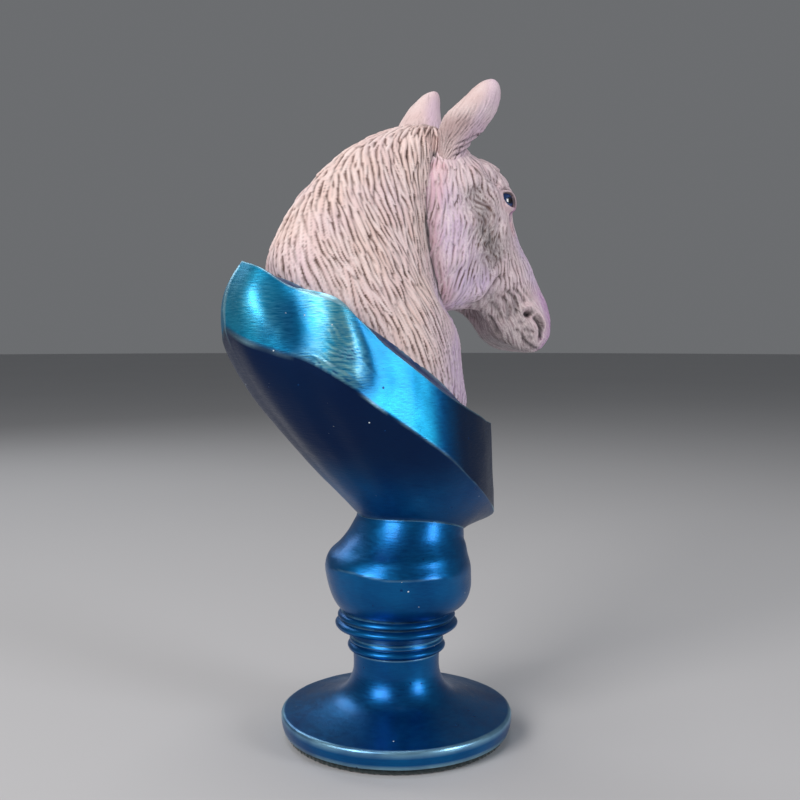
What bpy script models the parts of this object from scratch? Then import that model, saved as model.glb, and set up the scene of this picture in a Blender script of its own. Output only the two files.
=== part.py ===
"""Chess knight: a horse's head and neck rising from a slanted bust shell on a turned pedestal.

The piece stands along +Z with its origin under the middle of its felt.  The horse looks along -Y
and its right side is towards -X.  Design numbers are millimetres and degrees; MM turns them into
the scene's metres.
"""

from math import cos, pi, radians, sin

import bmesh
import bpy
from mathutils import Matrix, Vector

MM = 0.001

# Clearance between neighbouring pieces
GAP = 0.3

# Faces around each kind of round piece
TURNED_STEPS = 32
SMALL_STEPS = 16
SLICE_STEPS = 24
EAR_OUTER_STEPS = 12
EAR_INNER_STEPS = 8

# Fixings
ROD_RADIUS = 2.5
ROD_BOTTOM = 2.2
ROD_TOP = 85.0
NUT_RADIUS = 4.62
NUT_HEIGHT = 4.0
WASHER_RADIUS = 5.5
WASHER_THICKNESS = 0.8
DOWEL_RADIUS = 2.0
BORE_RADIUS = ROD_RADIUS + GAP

# Foot and stem
FELT_RADIUS = 33.5
FELT_THICKNESS = 1.2
FOOT_RADIUS = 35.6
STEM_RADIUS = 13.4
STEM_TOP = 26.0
SPIGOT_RADIUS = 8.0
SPIGOT_TOP = 42.0
WELL_RADIUS = 26.3
WELL_TOP = 6.8
NUT_WELL_RADIUS = 7.5
NUT_WELL_TOP = 9.0

# Foot's side, from its bottom to its upper edge: inset from its radius, height
FOOT_SIDE = (
    (1.8, 1.5),
    (0.7, 2.0),
    (0.3, 4.5),
    (0.0, 6.4),
    (0.4, 7.2),
    (1.4, 7.6),
)

# Foot's top, from its edge inwards to the stem: radius, height
FOOT_SLOPE = (
    (29.0, 8.6),
    (22.5, 10.4),
    (18.0, 12.4),
    (15.1, 15.4),
    (13.7, 19.2),
)

# Weight in the foot: play round the nut's well, width of its lower chamfer
BALLAST_PLAY = 0.8
BALLAST_CHAMFER = 0.5

# Collar between the stem and the bulb
LOWER_COLLAR_TOP = 30.3
MAIN_COLLAR_TOP = 36.0
BEAD_RADIUS = 15.1
MAIN_BEAD_RADIUS = 18.9

# Outer sides of the collars from their bottoms up: radius, rise
LOWER_COLLAR_SIDE = (
    (BEAD_RADIUS - 1.0, 0.0),
    (BEAD_RADIUS - 0.2, 0.6),
    (BEAD_RADIUS, 1.4),
    (BEAD_RADIUS - 0.7, 2.3),
    (BEAD_RADIUS - 1.0, 2.7),
    (BEAD_RADIUS - 0.6, 3.1),
    (BEAD_RADIUS - 1.0, 4.0),
)
MAIN_COLLAR_SIDE = (
    (BEAD_RADIUS - 1.1, 0.0),
    (BEAD_RADIUS - 0.4, 0.9),
    (BEAD_RADIUS + 1.5, 2.0),
    (MAIN_BEAD_RADIUS - 0.5, 2.9),
    (MAIN_BEAD_RADIUS, 3.9),
    (MAIN_BEAD_RADIUS - 0.4, 4.8),
    (MAIN_BEAD_RADIUS - 1.3, 5.4),
)
UPPER_COLLAR_SIDE = (
    (MAIN_BEAD_RADIUS - 1.6, 0.0),
    (MAIN_BEAD_RADIUS - 0.8, 0.8),
    (MAIN_BEAD_RADIUS - 1.1, 1.6),
    (MAIN_BEAD_RADIUS - 1.8, 2.0),
)

# Bulb rings from the collar up: height, radius, shift forward
BULB_RINGS = (
    (38.6, 17.3, 0.8),
    (40.2, 19.3, 1.2),
    (42.5, 20.9, 1.4),
    (45.5, 21.9, 1.3),
    (49.0, 22.4, 0.8),
    (52.5, 22.4, 0.5),
    (56.0, 21.6, 0.6),
    (59.0, 19.6, 2.2),
    (61.8, 17.8, 3.6),
)

# Saddle-shaped joint between the bulb and the bust shell: mean height, lift of its back over its
# front, lift of its sides
JOINT_FORWARD = 5.1
JOINT_RADIUS = 16.5
JOINT_HEIGHT = 66.1
JOINT_BACK_LIFT = 3.1
JOINT_SIDE_LIFT = 1.2
PEG_TOP = 73.0

# Upper edge of the shell's band, right half from the back to the front: forward, right, height
RIM = (
    (-49.5, 0.0, 143.3),
    (-47.5, 8.0, 141.3),
    (-42.0, 13.5, 136.5),
    (-36.5, 17.5, 134.2),
    (-31.0, 22.0, 131.8),
    (-25.0, 24.5, 126.7),
    (-18.0, 25.5, 120.0),
    (-9.0, 26.5, 113.3),
    (1.0, 26.0, 106.4),
    (11.0, 22.0, 101.6),
    (20.0, 16.5, 98.3),
    (27.5, 9.5, 95.8),
    (32.5, 4.0, 94.8),
    (34.0, 0.0, 95.0),
)

# Lower edge of the band, beside the same points, down to the prow
BAND = (
    (-54.5, 0.0, 126.0),
    (-52.5, 9.0, 122.3),
    (-46.5, 15.5, 119.5),
    (-40.0, 19.5, 117.3),
    (-34.0, 24.5, 113.0),
    (-27.0, 27.0, 108.1),
    (-19.0, 28.0, 102.3),
    (-9.5, 29.0, 95.9),
    (1.0, 28.5, 88.8),
    (11.5, 24.5, 80.9),
    (20.5, 18.5, 74.7),
    (28.0, 11.0, 70.0),
    (33.5, 4.5, 66.8),
    (36.5, 0.0, 65.0),
)

# How the shell's underside swells below the straight line from band to joint
UNDERSIDE_STEPS = (0.14, 0.36, 0.62, 0.84)
UNDERSIDE_SWELL = 0.055
UNDERSIDE_EASE = 0.65

# Hollow inside the rim: share of the way to the middle, drop
OPENING_MIDDLE = (-8.0, 0.0, 117.0)
LEDGE_RINGS = (
    (0.05, 0.3),
    (0.12, 2.5),
    (0.5, 3.5),
)

# Neck slices from the plug up to the poll: crest forward and height, throat forward and height,
# half width, and how much wider the crest side is than the throat side
NECK_SLICES = (
    (-37.5, 129.5, 19.5, 88.0, 19.5, -0.12),
    (-41.0, 142.5, 21.5, 99.5, 20.8, -0.12),
    (-37.6, 152.0, 20.5, 109.0, 20.2, -0.12),
    (-32.0, 160.4, 19.5, 117.5, 18.8, -0.10),
    (-25.4, 168.4, 18.0, 125.0, 17.0, -0.05),
    (-16.0, 176.4, 17.0, 132.0, 14.8, 0.0),
    (-6.0, 182.0, 16.5, 140.0, 13.0, 0.05),
    (3.1, 185.2, 16.5, 150.0, 11.8, 0.10),
    (10.0, 185.9, 16.5, 161.0, 10.6, 0.10),
    (15.0, 184.6, 16.8, 171.0, 8.0, 0.0),
    (17.4, 181.0, 17.4, 176.5, 3.5, 0.0),
)

# Head, measured from the poll: along the face, and out through the forehead
POLL = (15.5, 0.0, 184.8)
FACE_SLOPE = 57.0

# Head slices: along, forehead side, jaw side, half width, how much wider the forehead side is
HEAD_SLICES = (
    (2.0, -1.5, -10.5, 6.5, 0.0),
    (7.0, 1.2, -17.5, 12.0, 0.05),
    (14.0, 5.2, -24.5, 14.8, 0.12),
    (21.0, 8.6, -29.3, 16.0, 0.12),
    (27.0, 8.0, -32.4, 15.6, 0.08),
    (34.0, 6.2, -34.8, 14.6, 0.0),
    (40.0, 5.7, -34.6, 13.3, -0.05),
    (45.0, 5.7, -30.0, 11.8, -0.05),
    (50.0, 5.9, -22.4, 10.2, 0.0),
    (57.0, 5.4, -19.9, 9.2, 0.0),
    (63.0, 4.9, -19.0, 9.4, 0.05),
    (68.5, 3.4, -15.8, 9.2, 0.05),
    (73.0, 0.6, -11.6, 7.6, 0.0),
    (75.8, -3.2, -8.0, 3.4, 0.0),
)
FOREHEAD_SQUARENESS = 0.75
JAW_SQUARENESS = 0.5

# Level slices of the right ear from its root up: height, middle forward and right, half length,
# half width, and how far it is hollowed
EAR_SLICES = (
    (172.5, 13.2, 8.8, 3.2, 3.0, 0.0),
    (176.5, 13.6, 9.6, 4.0, 3.5, 0.0),
    (180.2, 14.2, 10.6, 5.0, 4.0, 0.0),
    (183.5, 15.2, 12.2, 6.6, 4.9, 0.5),
    (187.5, 16.7, 14.1, 7.3, 5.4, 1.0),
    (191.0, 18.6, 15.7, 6.6, 4.8, 1.0),
    (194.5, 20.4, 16.6, 5.2, 3.8, 1.0),
    (197.5, 21.9, 16.6, 3.5, 2.6, 0.8),
    (199.2, 22.9, 16.3, 1.8, 1.4, 0.0),
    (199.8, 23.3, 16.1, 0.6, 0.5, 0.0),
)

# Ear's wall, how far it opens inwards from straight ahead, and half the angle of its opening
EAR_WALL = 1.0
EAR_TURN_IN = 5.0
EAR_OPENING = 30.0

# Eyes: place in the head's own measure, and size
EYE_ALONG = 26.4
EYE_OUT = 1.8
EYE_SIDE = 9.9
EYE_RADIUS = 4.0

# Neck dowels: forward, lower end, upper end
REAR_DOWEL = (-20.0, 104.0, 130.0)
FRONT_DOWEL = (13.0, 84.0, 112.0)

# Head dowel: height, back end, front end
HEAD_DOWEL_HEIGHT = 156.0
HEAD_DOWEL_BACK = -8.0
HEAD_DOWEL_FRONT = 20.0

# Upper nut's well in the shell's floor
UPPER_WELL_RADIUS = 6.5
UPPER_WELL_FLOOR = 74.0
UPPER_WELL_TOP = 112.0

# Paints and metals: colour, roughness, metallic
FINISHES = {
    "horse_paint": ((0.60, 0.50, 0.54), 0.55, 0.0),
    "blue_metallic_paint": ((0.01, 0.16, 0.42), 0.32, 0.6),
    "eye_gloss": ((0.01, 0.02, 0.09), 0.1, 0.0),
    "steel": ((0.55, 0.56, 0.58), 0.35, 1.0),
    "felt": ((0.02, 0.05, 0.04), 0.95, 0.0),
}


# ---------------------------------------------------------------- places and finishes


def at(forward, right, height):
    """World point of a place given ahead of, to the right of and above the foot's middle."""
    return Vector((-right, -forward, height)) * MM


def head_at(along, out, side):
    """World point of a place in the head's own measure, starting at the poll."""
    slope = radians(FACE_SLOPE)
    forward = POLL[0] + along * cos(slope) + out * sin(slope)
    height = POLL[2] - along * sin(slope) + out * cos(slope)
    return at(forward, side, height)


def toward(start, end, share):
    """Point that lies this share of the way from start to end."""
    return start + (end - start) * share


def smoothed(rows):
    """Rows of a table with one more between each two, on a smooth curve through them all."""
    result = []
    last = len(rows) - 1
    for i in range(last):
        before = rows[max(i - 1, 0)]
        after = rows[min(i + 2, last)]
        result.append(rows[i])
        between = zip(before, rows[i], rows[i + 1], after)
        result.append(tuple((9 * (b + c) - a - d) / 16 for a, b, c, d in between))
    result.append(rows[last])
    return result


def finish(name):
    """Principled material of one of the piece's finishes, made once."""
    material = bpy.data.materials.get(name)
    if material is None:
        colour, roughness, metallic = FINISHES[name]
        material = bpy.data.materials.new(name)
        material.use_nodes = True
        shader = material.node_tree.nodes["Principled BSDF"]
        shader.inputs["Base Color"].default_value = (*colour, 1.0)
        shader.inputs["Roughness"].default_value = roughness
        shader.inputs["Metallic"].default_value = metallic
    return material


# ---------------------------------------------------------------- ways of making a solid


def add_solid(name, form, origin, finish_name):
    """Object made from a finished bmesh given in world places, with its origin where it is told."""
    bmesh.ops.remove_doubles(form, verts=form.verts, dist=1e-7)
    bmesh.ops.recalc_face_normals(form, faces=form.faces)
    bmesh.ops.translate(form, verts=form.verts, vec=-origin)
    mesh = bpy.data.meshes.new(name)
    form.to_mesh(mesh)
    form.free()
    mesh.shade_smooth()
    mesh.set_sharp_from_angle(angle=radians(35))
    solid = bpy.data.objects.new(name, mesh)
    solid.location = origin
    mesh.materials.append(finish(finish_name))
    bpy.context.collection.objects.link(solid)
    return solid


def turned(name, outline, finish_name, steps=TURNED_STEPS):
    """Solid turned about the upright axis from a closed outline of radii and heights."""
    form = bmesh.new()
    corners = [form.verts.new(at(0, radius, height)) for radius, height in outline]
    for first, second in zip(corners, corners[1:] + corners[:1]):
        form.edges.new((first, second))
    bmesh.ops.spin(
        form,
        geom=form.verts[:] + form.edges[:],
        cent=(0, 0, 0),
        axis=(0, 0, 1),
        angle=2 * pi,
        steps=steps,
        use_merge=True,
    )
    return add_solid(name, form, at(0, 0, outline[0][1]), finish_name)


def lofted(name, rings, origin, finish_name):
    """Closed solid that runs through rings of points, each ring with the same count."""
    form = bmesh.new()
    loops = [[form.verts.new(point) for point in ring] for ring in rings]
    for low, high in zip(loops, loops[1:]):
        for i in range(len(low)):
            j = (i + 1) % len(low)
            form.faces.new((low[i], low[j], high[j], high[i]))
    form.faces.new(loops[0][::-1])
    form.faces.new(loops[-1])
    return add_solid(name, form, origin, finish_name)


def pin(name, start, end, radius, finish_name, steps=SMALL_STEPS):
    """Round bar between two world points."""
    form = bmesh.new()
    bmesh.ops.create_cone(
        form,
        cap_ends=True,
        segments=steps,
        radius1=radius * MM,
        radius2=radius * MM,
        depth=(end - start).length,
    )
    turn = (end - start).to_track_quat("Z", "Y").to_matrix().to_4x4()
    place = Matrix.Translation((start + end) / 2) @ turn
    bmesh.ops.transform(form, matrix=place, verts=form.verts)
    return add_solid(name, form, start, finish_name)


def hide_as_cutter(solid):
    """Mark a shape that only cuts others."""
    solid.hide_render = True
    solid.display_type = "WIRE"
    return solid


def swollen_copy(solid, name):
    """Cutter that is the solid as it stands, grown by the clearance all over."""
    cutter = solid.copy()
    cutter.data = solid.data.copy()
    cutter.name = name
    bpy.context.collection.objects.link(cutter)
    grow = cutter.modifiers.new("clearance", "DISPLACE")
    grow.mid_level = 0.0
    grow.strength = GAP * MM
    return hide_as_cutter(cutter)


def cut(solid, cutter):
    """Take the cutter's shape out of the solid."""
    boolean = solid.modifiers.new(f"less_{cutter.name}"[:60], "BOOLEAN")
    boolean.operation = "DIFFERENCE"
    boolean.solver = "EXACT"
    boolean.object = cutter


def fix_folds(solid):
    """Split a blank's bent faces, so that its grown copy folds as it does."""
    solid.modifiers.new("fixed_folds", "TRIANGULATE")


def drill(name, start, end, radius):
    """Cutter for a round hole between two world points."""
    return hide_as_cutter(pin(name, start, end, radius, "steel"))


# ---------------------------------------------------------------- fixings on the pedestal's rod


def hex_nut(name, bottom):
    """Six-sided nut around the rod."""
    nut = pin(name, at(0, 0, bottom), at(0, 0, bottom + NUT_HEIGHT), NUT_RADIUS, "steel", steps=6)
    nut.data.shade_flat()
    hole = drill(f"{name}_hole", at(0, 0, bottom - 1), at(0, 0, bottom + NUT_HEIGHT + 1), BORE_RADIUS)
    cut(nut, hole)
    return nut


def washer(name, bottom):
    """Flat ring under a nut."""
    top = bottom + WASHER_THICKNESS
    outline = (
        (BORE_RADIUS, bottom),
        (WASHER_RADIUS, bottom),
        (WASHER_RADIUS, top),
        (BORE_RADIUS, top),
    )
    return turned(name, outline, "steel", SMALL_STEPS)


def make_rod_and_nuts():
    """Tie rod that holds the pedestal's pieces together, with a nut and washer at each end."""
    rod = pin("tie_rod", at(0, 0, ROD_BOTTOM), at(0, 0, ROD_TOP), ROD_RADIUS, "steel")
    low_washer = washer("base_washer", NUT_WELL_TOP - GAP - WASHER_THICKNESS)
    low_nut = hex_nut("base_nut", NUT_WELL_TOP - 2 * GAP - WASHER_THICKNESS - NUT_HEIGHT)
    high_washer = washer("top_washer", UPPER_WELL_FLOOR + GAP)
    high_nut = hex_nut("top_nut", UPPER_WELL_FLOOR + 2 * GAP + WASHER_THICKNESS)
    return [rod, low_washer, low_nut, high_washer, high_nut]


# ---------------------------------------------------------------- pedestal


def make_felt():
    """Felt disc that the piece stands on."""
    return pin("felt_pad", at(0, 0, 0), at(0, 0, FELT_THICKNESS), FELT_RADIUS, "felt", TURNED_STEPS)


def make_foot():
    """Foot disc with its flared stem, a well for the weight below and a spigot above."""
    outline = (
        (BORE_RADIUS, NUT_WELL_TOP),
        (NUT_WELL_RADIUS, NUT_WELL_TOP),
        (NUT_WELL_RADIUS, WELL_TOP),
        (WELL_RADIUS, WELL_TOP),
        (WELL_RADIUS, FELT_THICKNESS + GAP),
        *((FOOT_RADIUS - inset, height) for inset, height in FOOT_SIDE),
        *FOOT_SLOPE,
        (STEM_RADIUS, STEM_TOP),
        (SPIGOT_RADIUS, STEM_TOP),
        (SPIGOT_RADIUS, SPIGOT_TOP),
        (BORE_RADIUS, SPIGOT_TOP),
    )
    return turned("foot_and_stem", outline, "blue_metallic_paint")


def make_ballast():
    """Steel ring in the well under the foot."""
    inner = NUT_WELL_RADIUS + BALLAST_PLAY
    outer = WELL_RADIUS - GAP
    bottom = FELT_THICKNESS + GAP
    top = WELL_TOP - GAP
    outline = (
        (inner, bottom),
        (outer - BALLAST_CHAMFER, bottom),
        (outer, bottom + BALLAST_CHAMFER),
        (outer, top),
        (inner, top),
    )
    return turned("ballast_ring", outline, "steel")


def make_collar(name, bottom, side):
    """Beaded ring threaded on the stem's spigot."""
    bore = SPIGOT_RADIUS + GAP
    outer = [(radius, bottom + rise) for radius, rise in side]
    outline = [(bore, outer[0][1]), *outer, (bore, outer[-1][1])]
    return turned(name, outline, "blue_metallic_paint")


def make_collars():
    """Three rings between the stem and the bulb."""
    return [
        make_collar("lower_collar", STEM_TOP + GAP, LOWER_COLLAR_SIDE),
        make_collar("main_collar", LOWER_COLLAR_TOP + GAP, MAIN_COLLAR_SIDE),
        make_collar("upper_collar", MAIN_COLLAR_TOP + GAP, UPPER_COLLAR_SIDE),
    ]


def level_ring(forward, height, radius, steps):
    """Level circle of points that starts at its back."""
    turns = [2 * pi * i / steps for i in range(steps)]
    return [at(forward - radius * cos(turn), radius * sin(turn), height) for turn in turns]


def saddle_ring(forward, radius, steps, lift):
    """Circle of points on the saddle between bulb and shell; lift moves it off the joint."""
    points = []
    for i in range(steps):
        turn = 2 * pi * i / steps
        share = radius / JOINT_RADIUS
        rise = share * JOINT_BACK_LIFT * cos(turn) - share**2 * JOINT_SIDE_LIFT * cos(2 * turn)
        points.append(at(forward - radius * cos(turn), radius * sin(turn), JOINT_HEIGHT + lift + rise))
    return points


def make_bulb():
    """Baluster bulb, fuller behind, whose leaning top carries a peg for the bust shell."""
    rings = []
    for height, radius, forward in BULB_RINGS:
        rings.append(level_ring(forward, height, radius, TURNED_STEPS))
    rings.append(saddle_ring(JOINT_FORWARD, JOINT_RADIUS, TURNED_STEPS, -GAP / 2))
    rings.append(saddle_ring(0, SPIGOT_RADIUS, TURNED_STEPS, -GAP / 2))
    rings.append(level_ring(0, PEG_TOP, SPIGOT_RADIUS, TURNED_STEPS))
    bulb = lofted("baluster_bulb", rings, at(0, 0, BULB_RINGS[0][0]), "blue_metallic_paint")
    below = at(0, 0, BULB_RINGS[0][0] - 1)
    cut(bulb, drill("bulb_socket", below, at(0, 0, SPIGOT_TOP + GAP), SPIGOT_RADIUS + GAP))
    cut(bulb, drill("bulb_bore", below, at(0, 0, PEG_TOP + 1), BORE_RADIUS))
    return bulb


# ---------------------------------------------------------------- bust shell


def whole_ring(half):
    """Closed ring of world points from a right half that runs from the back to the front."""
    right_side = [at(*point) for point in half]
    left_side = [at(forward, -right, height) for forward, right, height in half[-2:0:-1]]
    return right_side + left_side


def underside_ring(band, joint, share):
    """Ring part of the way down the underside, swelling below the straight line."""
    ring = []
    for upper, lower in zip(band, joint):
        chord = upper - lower
        drop = chord.z
        reach = chord.xy.length
        outward = Vector((chord.x, chord.y, 0)) / reach
        below = (outward * drop - Vector((0, 0, reach))) / chord.length
        swell = UNDERSIDE_SWELL * sin(pi * share**UNDERSIDE_EASE) * chord.length
        ring.append(toward(upper, lower, share) + below * swell)
    return ring


def make_bust_shell(neck_blank):
    """Slanted, lobed shell that the horse's neck is set into."""
    rim = whole_ring(smoothed(RIM))
    band = whole_ring(smoothed(BAND))
    joint = saddle_ring(JOINT_FORWARD, JOINT_RADIUS, len(band), GAP / 2)
    middle = at(*OPENING_MIDDLE)
    rings = [saddle_ring(0, SPIGOT_RADIUS, len(band), GAP / 2), joint]
    rings += [underside_ring(band, joint, share) for share in reversed(UNDERSIDE_STEPS)]
    rings += [band, rim]
    for share, drop in LEDGE_RINGS:
        rings.append([toward(point, middle, share) - Vector((0, 0, drop * MM)) for point in rim])
    shell = lofted("bust_shell", rings, at(JOINT_FORWARD, 0, JOINT_HEIGHT), "blue_metallic_paint")
    low = at(0, 0, JOINT_HEIGHT - JOINT_RADIUS / 2)
    well_floor = at(0, 0, UPPER_WELL_FLOOR)
    cut(shell, swollen_copy(neck_blank, "neck_pocket"))
    cut(shell, drill("peg_socket", low, at(0, 0, PEG_TOP + GAP), SPIGOT_RADIUS + GAP))
    cut(shell, drill("shell_bore", low, at(0, 0, UPPER_WELL_FLOOR + 1), BORE_RADIUS))
    cut(shell, drill("nut_well", well_floor, at(0, 0, UPPER_WELL_TOP), UPPER_WELL_RADIUS))
    return shell


# ---------------------------------------------------------------- horse


def slice_ring(top, bottom, half_width, lean, top_squareness=1.0, bottom_squareness=1.0):
    """Slice across a body part; lean widens its top side, and squareness under 1 fills it out."""
    middle = (top + bottom) / 2
    half = (top - bottom) / 2
    points = []
    for i in range(SLICE_STEPS):
        turn = 2 * pi * i / SLICE_STEPS
        side = sin(turn)
        squareness = top_squareness if cos(turn) > 0 else bottom_squareness
        spread = half_width * abs(side) ** squareness * (1 + lean * cos(turn))
        sign = 1 if side > 0 else -1
        points.append(middle + half * cos(turn) + Vector((-sign * spread * MM, 0, 0)))
    return points


def make_neck_blank():
    """Neck as one plain solid from the plug in the shell to the poll."""
    rings = []
    for *crest_and_throat, half_width, lean in smoothed(NECK_SLICES):
        crest_forward, crest_height, throat_forward, throat_height = crest_and_throat
        crest = at(crest_forward, 0, crest_height)
        throat = at(throat_forward, 0, throat_height)
        rings.append(slice_ring(crest, throat, half_width, lean))
    blank = lofted("neck_blank", rings, at(-8, 0, 108), "horse_paint")
    fix_folds(blank)
    return hide_as_cutter(blank)


def make_head_blank():
    """Head as one plain solid from the poll to the lips."""
    rings = []
    for along, out, jaw, half_width, lean in smoothed(HEAD_SLICES):
        ends = (head_at(along, out, 0), head_at(along, jaw, 0))
        rings.append(slice_ring(*ends, half_width, lean, FOREHEAD_SQUARENESS, JAW_SQUARENESS))
    blank = lofted("head_blank", rings, at(*POLL), "horse_paint")
    fix_folds(blank)
    return hide_as_cutter(blank)


def casting(blank, name):
    """Piece that starts as a copy of a blank and then takes its cuts."""
    piece = blank.copy()
    piece.data = blank.data.copy()
    piece.name = name
    piece.hide_render = False
    piece.display_type = "TEXTURED"
    bpy.context.collection.objects.link(piece)
    return piece


def ear_slice(half_length, half_width, hollow):
    """Points round a level slice of the right ear: its outer side, then the hollow's wall."""
    middle = radians(-EAR_TURN_IN)
    opening = radians(EAR_OPENING)
    points = []
    for i in range(EAR_OUTER_STEPS + 1):
        turn = middle + opening + (2 * pi - 2 * opening) * i / EAR_OUTER_STEPS
        points.append(Vector((half_length * cos(turn), half_width * sin(turn))))
    for i in range(1, EAR_INNER_STEPS):
        share = i / EAR_INNER_STEPS
        front = middle - opening + 2 * opening * share
        back = middle - opening - (2 * pi - 2 * opening) * share
        closed = Vector((half_length * cos(front), half_width * sin(front)))
        length_inside = half_length - EAR_WALL
        width_inside = half_width - EAR_WALL
        hollowed = Vector((length_inside * cos(back), width_inside * sin(back)))
        points.append(closed.lerp(hollowed, hollow))
    return points


def make_ear(name, side):
    """One ear, hollow towards the front; side is 1 for the right and -1 for the left."""
    rings = []
    for height, forward, right, half_length, half_width, hollow in EAR_SLICES:
        ring = []
        for ahead, outward in ear_slice(half_length, half_width, hollow):
            ring.append(at(forward + ahead, side * (right + outward), height))
        rings.append(ring)
    height, forward, right = EAR_SLICES[0][:3]
    ear = lofted(name, rings, at(forward, side * right, height), "horse_paint")
    fix_folds(ear)
    return ear


def make_eye(name, side):
    """Glossy eyeball set into its socket."""
    centre = head_at(EYE_ALONG, EYE_OUT, side * EYE_SIDE)
    form = bmesh.new()
    bmesh.ops.create_icosphere(form, subdivisions=2, radius=EYE_RADIUS * MM)
    bmesh.ops.translate(form, verts=form.verts, vec=centre)
    return add_solid(name, form, centre, "eye_gloss")


def upright_dowel(name, forward, low, high):
    """Steel pin that stands between the shell and the neck."""
    return pin(name, at(forward, 0, low), at(forward, 0, high), DOWEL_RADIUS, "steel")


def make_dowels():
    """Steel pins that locate the neck in the shell and the head in the neck."""
    back_end = at(HEAD_DOWEL_BACK, 0, HEAD_DOWEL_HEIGHT)
    front_end = at(HEAD_DOWEL_FRONT, 0, HEAD_DOWEL_HEIGHT)
    return (
        upright_dowel("neck_dowel_rear", *REAR_DOWEL),
        upright_dowel("neck_dowel_front", *FRONT_DOWEL),
        pin("head_dowel", back_end, front_end, DOWEL_RADIUS, "steel"),
    )


def make_horse_and_shell():
    """Bust shell, neck, head, ears and eyes with the sockets and pins that join them."""
    neck_blank = make_neck_blank()
    head_blank = make_head_blank()
    shell = make_bust_shell(neck_blank)
    neck = casting(neck_blank, "neck_casting")
    head = casting(head_blank, "head_casting")
    rear_dowel, front_dowel, head_dowel = make_dowels()
    ears = [make_ear("right_ear", 1), make_ear("left_ear", -1)]
    eyes = [make_eye("right_eye", 1), make_eye("left_eye", -1)]
    cut(neck, swollen_copy(head_blank, "head_hollow"))
    for ear in ears:
        socket = swollen_copy(ear, f"{ear.name}_socket")
        cut(neck, socket)
        cut(head, socket)
    for eye in eyes:
        cut(head, swollen_copy(eye, f"{eye.name}_socket"))
    for dowel in (rear_dowel, front_dowel):
        hole = swollen_copy(dowel, f"{dowel.name}_hole")
        cut(neck, hole)
        cut(shell, hole)
    head_hole = swollen_copy(head_dowel, "head_dowel_hole")
    cut(neck, head_hole)
    cut(head, head_hole)
    return [shell, neck, head, rear_dowel, front_dowel, head_dowel, *ears, *eyes]


# ---------------------------------------------------------------- the whole piece


def clear_scene():
    """Start from an empty scene."""
    for thing in list(bpy.data.objects):
        bpy.data.objects.remove(thing)


def main():
    """Build every piece and hang it on one empty."""
    clear_scene()
    knight = bpy.data.objects.new("chess_knight", None)
    bpy.context.collection.objects.link(knight)
    pieces = [make_felt(), make_foot(), make_ballast(), make_bulb()]
    pieces += make_collars()
    pieces += make_rod_and_nuts()
    pieces += make_horse_and_shell()
    for piece in pieces:
        piece.parent = knight


main()
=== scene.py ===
"""Looks of the chess knight: a painted horse bust in a slanted shell on a turned pedestal.

Lengths in this file are millimetres and become metres when a mesh is made.  The horse looks along
-Y and its right side is towards -X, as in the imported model.
"""

from __future__ import annotations

import logging
from collections.abc import Callable
from dataclasses import dataclass, field
from enum import Enum
from math import cos, pi, radians, sin

import bpy
import numpy as np
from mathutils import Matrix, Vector


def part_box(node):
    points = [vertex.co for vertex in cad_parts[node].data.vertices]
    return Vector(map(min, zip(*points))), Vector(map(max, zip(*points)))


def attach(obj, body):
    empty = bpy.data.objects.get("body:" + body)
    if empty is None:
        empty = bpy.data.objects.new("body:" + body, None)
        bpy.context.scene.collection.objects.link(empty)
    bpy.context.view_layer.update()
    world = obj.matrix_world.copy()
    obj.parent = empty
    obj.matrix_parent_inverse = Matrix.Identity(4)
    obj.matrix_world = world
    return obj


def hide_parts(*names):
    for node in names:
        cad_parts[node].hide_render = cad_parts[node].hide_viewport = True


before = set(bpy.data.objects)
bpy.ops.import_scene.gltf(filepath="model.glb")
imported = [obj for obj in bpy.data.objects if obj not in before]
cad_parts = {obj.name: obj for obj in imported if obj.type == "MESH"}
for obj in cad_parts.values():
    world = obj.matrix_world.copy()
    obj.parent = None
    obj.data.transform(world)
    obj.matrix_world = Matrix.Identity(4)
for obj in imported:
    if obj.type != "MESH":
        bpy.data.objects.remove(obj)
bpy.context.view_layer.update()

log = logging.getLogger("chess_knight")

MM = 0.001
GAP = 0.3
Colour = tuple[float, float, float]
Row = tuple[float, ...]
Places = float | np.ndarray


# ---------------------------------------------------------------- places and curves


def at(forward: float, right: float, height: float) -> np.ndarray:
    """Point ahead of, to the right of and above the middle of the foot."""
    return np.array((-right, -forward, height))


def read_curve(rows: tuple[Row, ...] | np.ndarray, places: np.ndarray) -> np.ndarray:
    """Read a table at any places along a smooth curve through its rows.

    Args:
        rows: The table, one point to a row.
        places: Where to read it, in rows from the first.

    Returns:
        One point for each place.
    """
    table = np.asarray(rows, float)
    first = np.clip(np.floor(places).astype(int), 0, len(table) - 2)
    part = (np.asarray(places) - first)[:, None]
    padded = np.vstack([2 * table[0] - table[1], table, 2 * table[-1] - table[-2]])
    a, b, c, d = (padded[first + k] for k in range(4))
    bend = 2 * a - 5 * b + 4 * c - d
    return b + 0.5 * part * (c - a + part * (bend + part * (3 * (b - c) + d - a)))


def curve_through(rows: tuple[Row, ...] | np.ndarray, count: int) -> np.ndarray:
    """Points at even row steps along a smooth curve through a table's rows.

    Args:
        rows: The table, one point to a row.
        count: How many points to give.

    Returns:
        The points, first and last row included.
    """
    return read_curve(rows, np.linspace(0, len(rows) - 1, count))


def even_places(points: np.ndarray, count: int) -> np.ndarray:
    """Points spread evenly by length along a line of points.

    Args:
        points: The line, one point to a row.
        count: How many points to give.

    Returns:
        The evenly spread points.
    """
    steps = np.linalg.norm(np.diff(points, axis=0), axis=1)
    travelled = np.concatenate([[0.0], np.cumsum(steps)])
    wanted = np.linspace(0, travelled[-1], count)
    return np.stack([np.interp(wanted, travelled, axis) for axis in points.T], axis=1)


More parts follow.
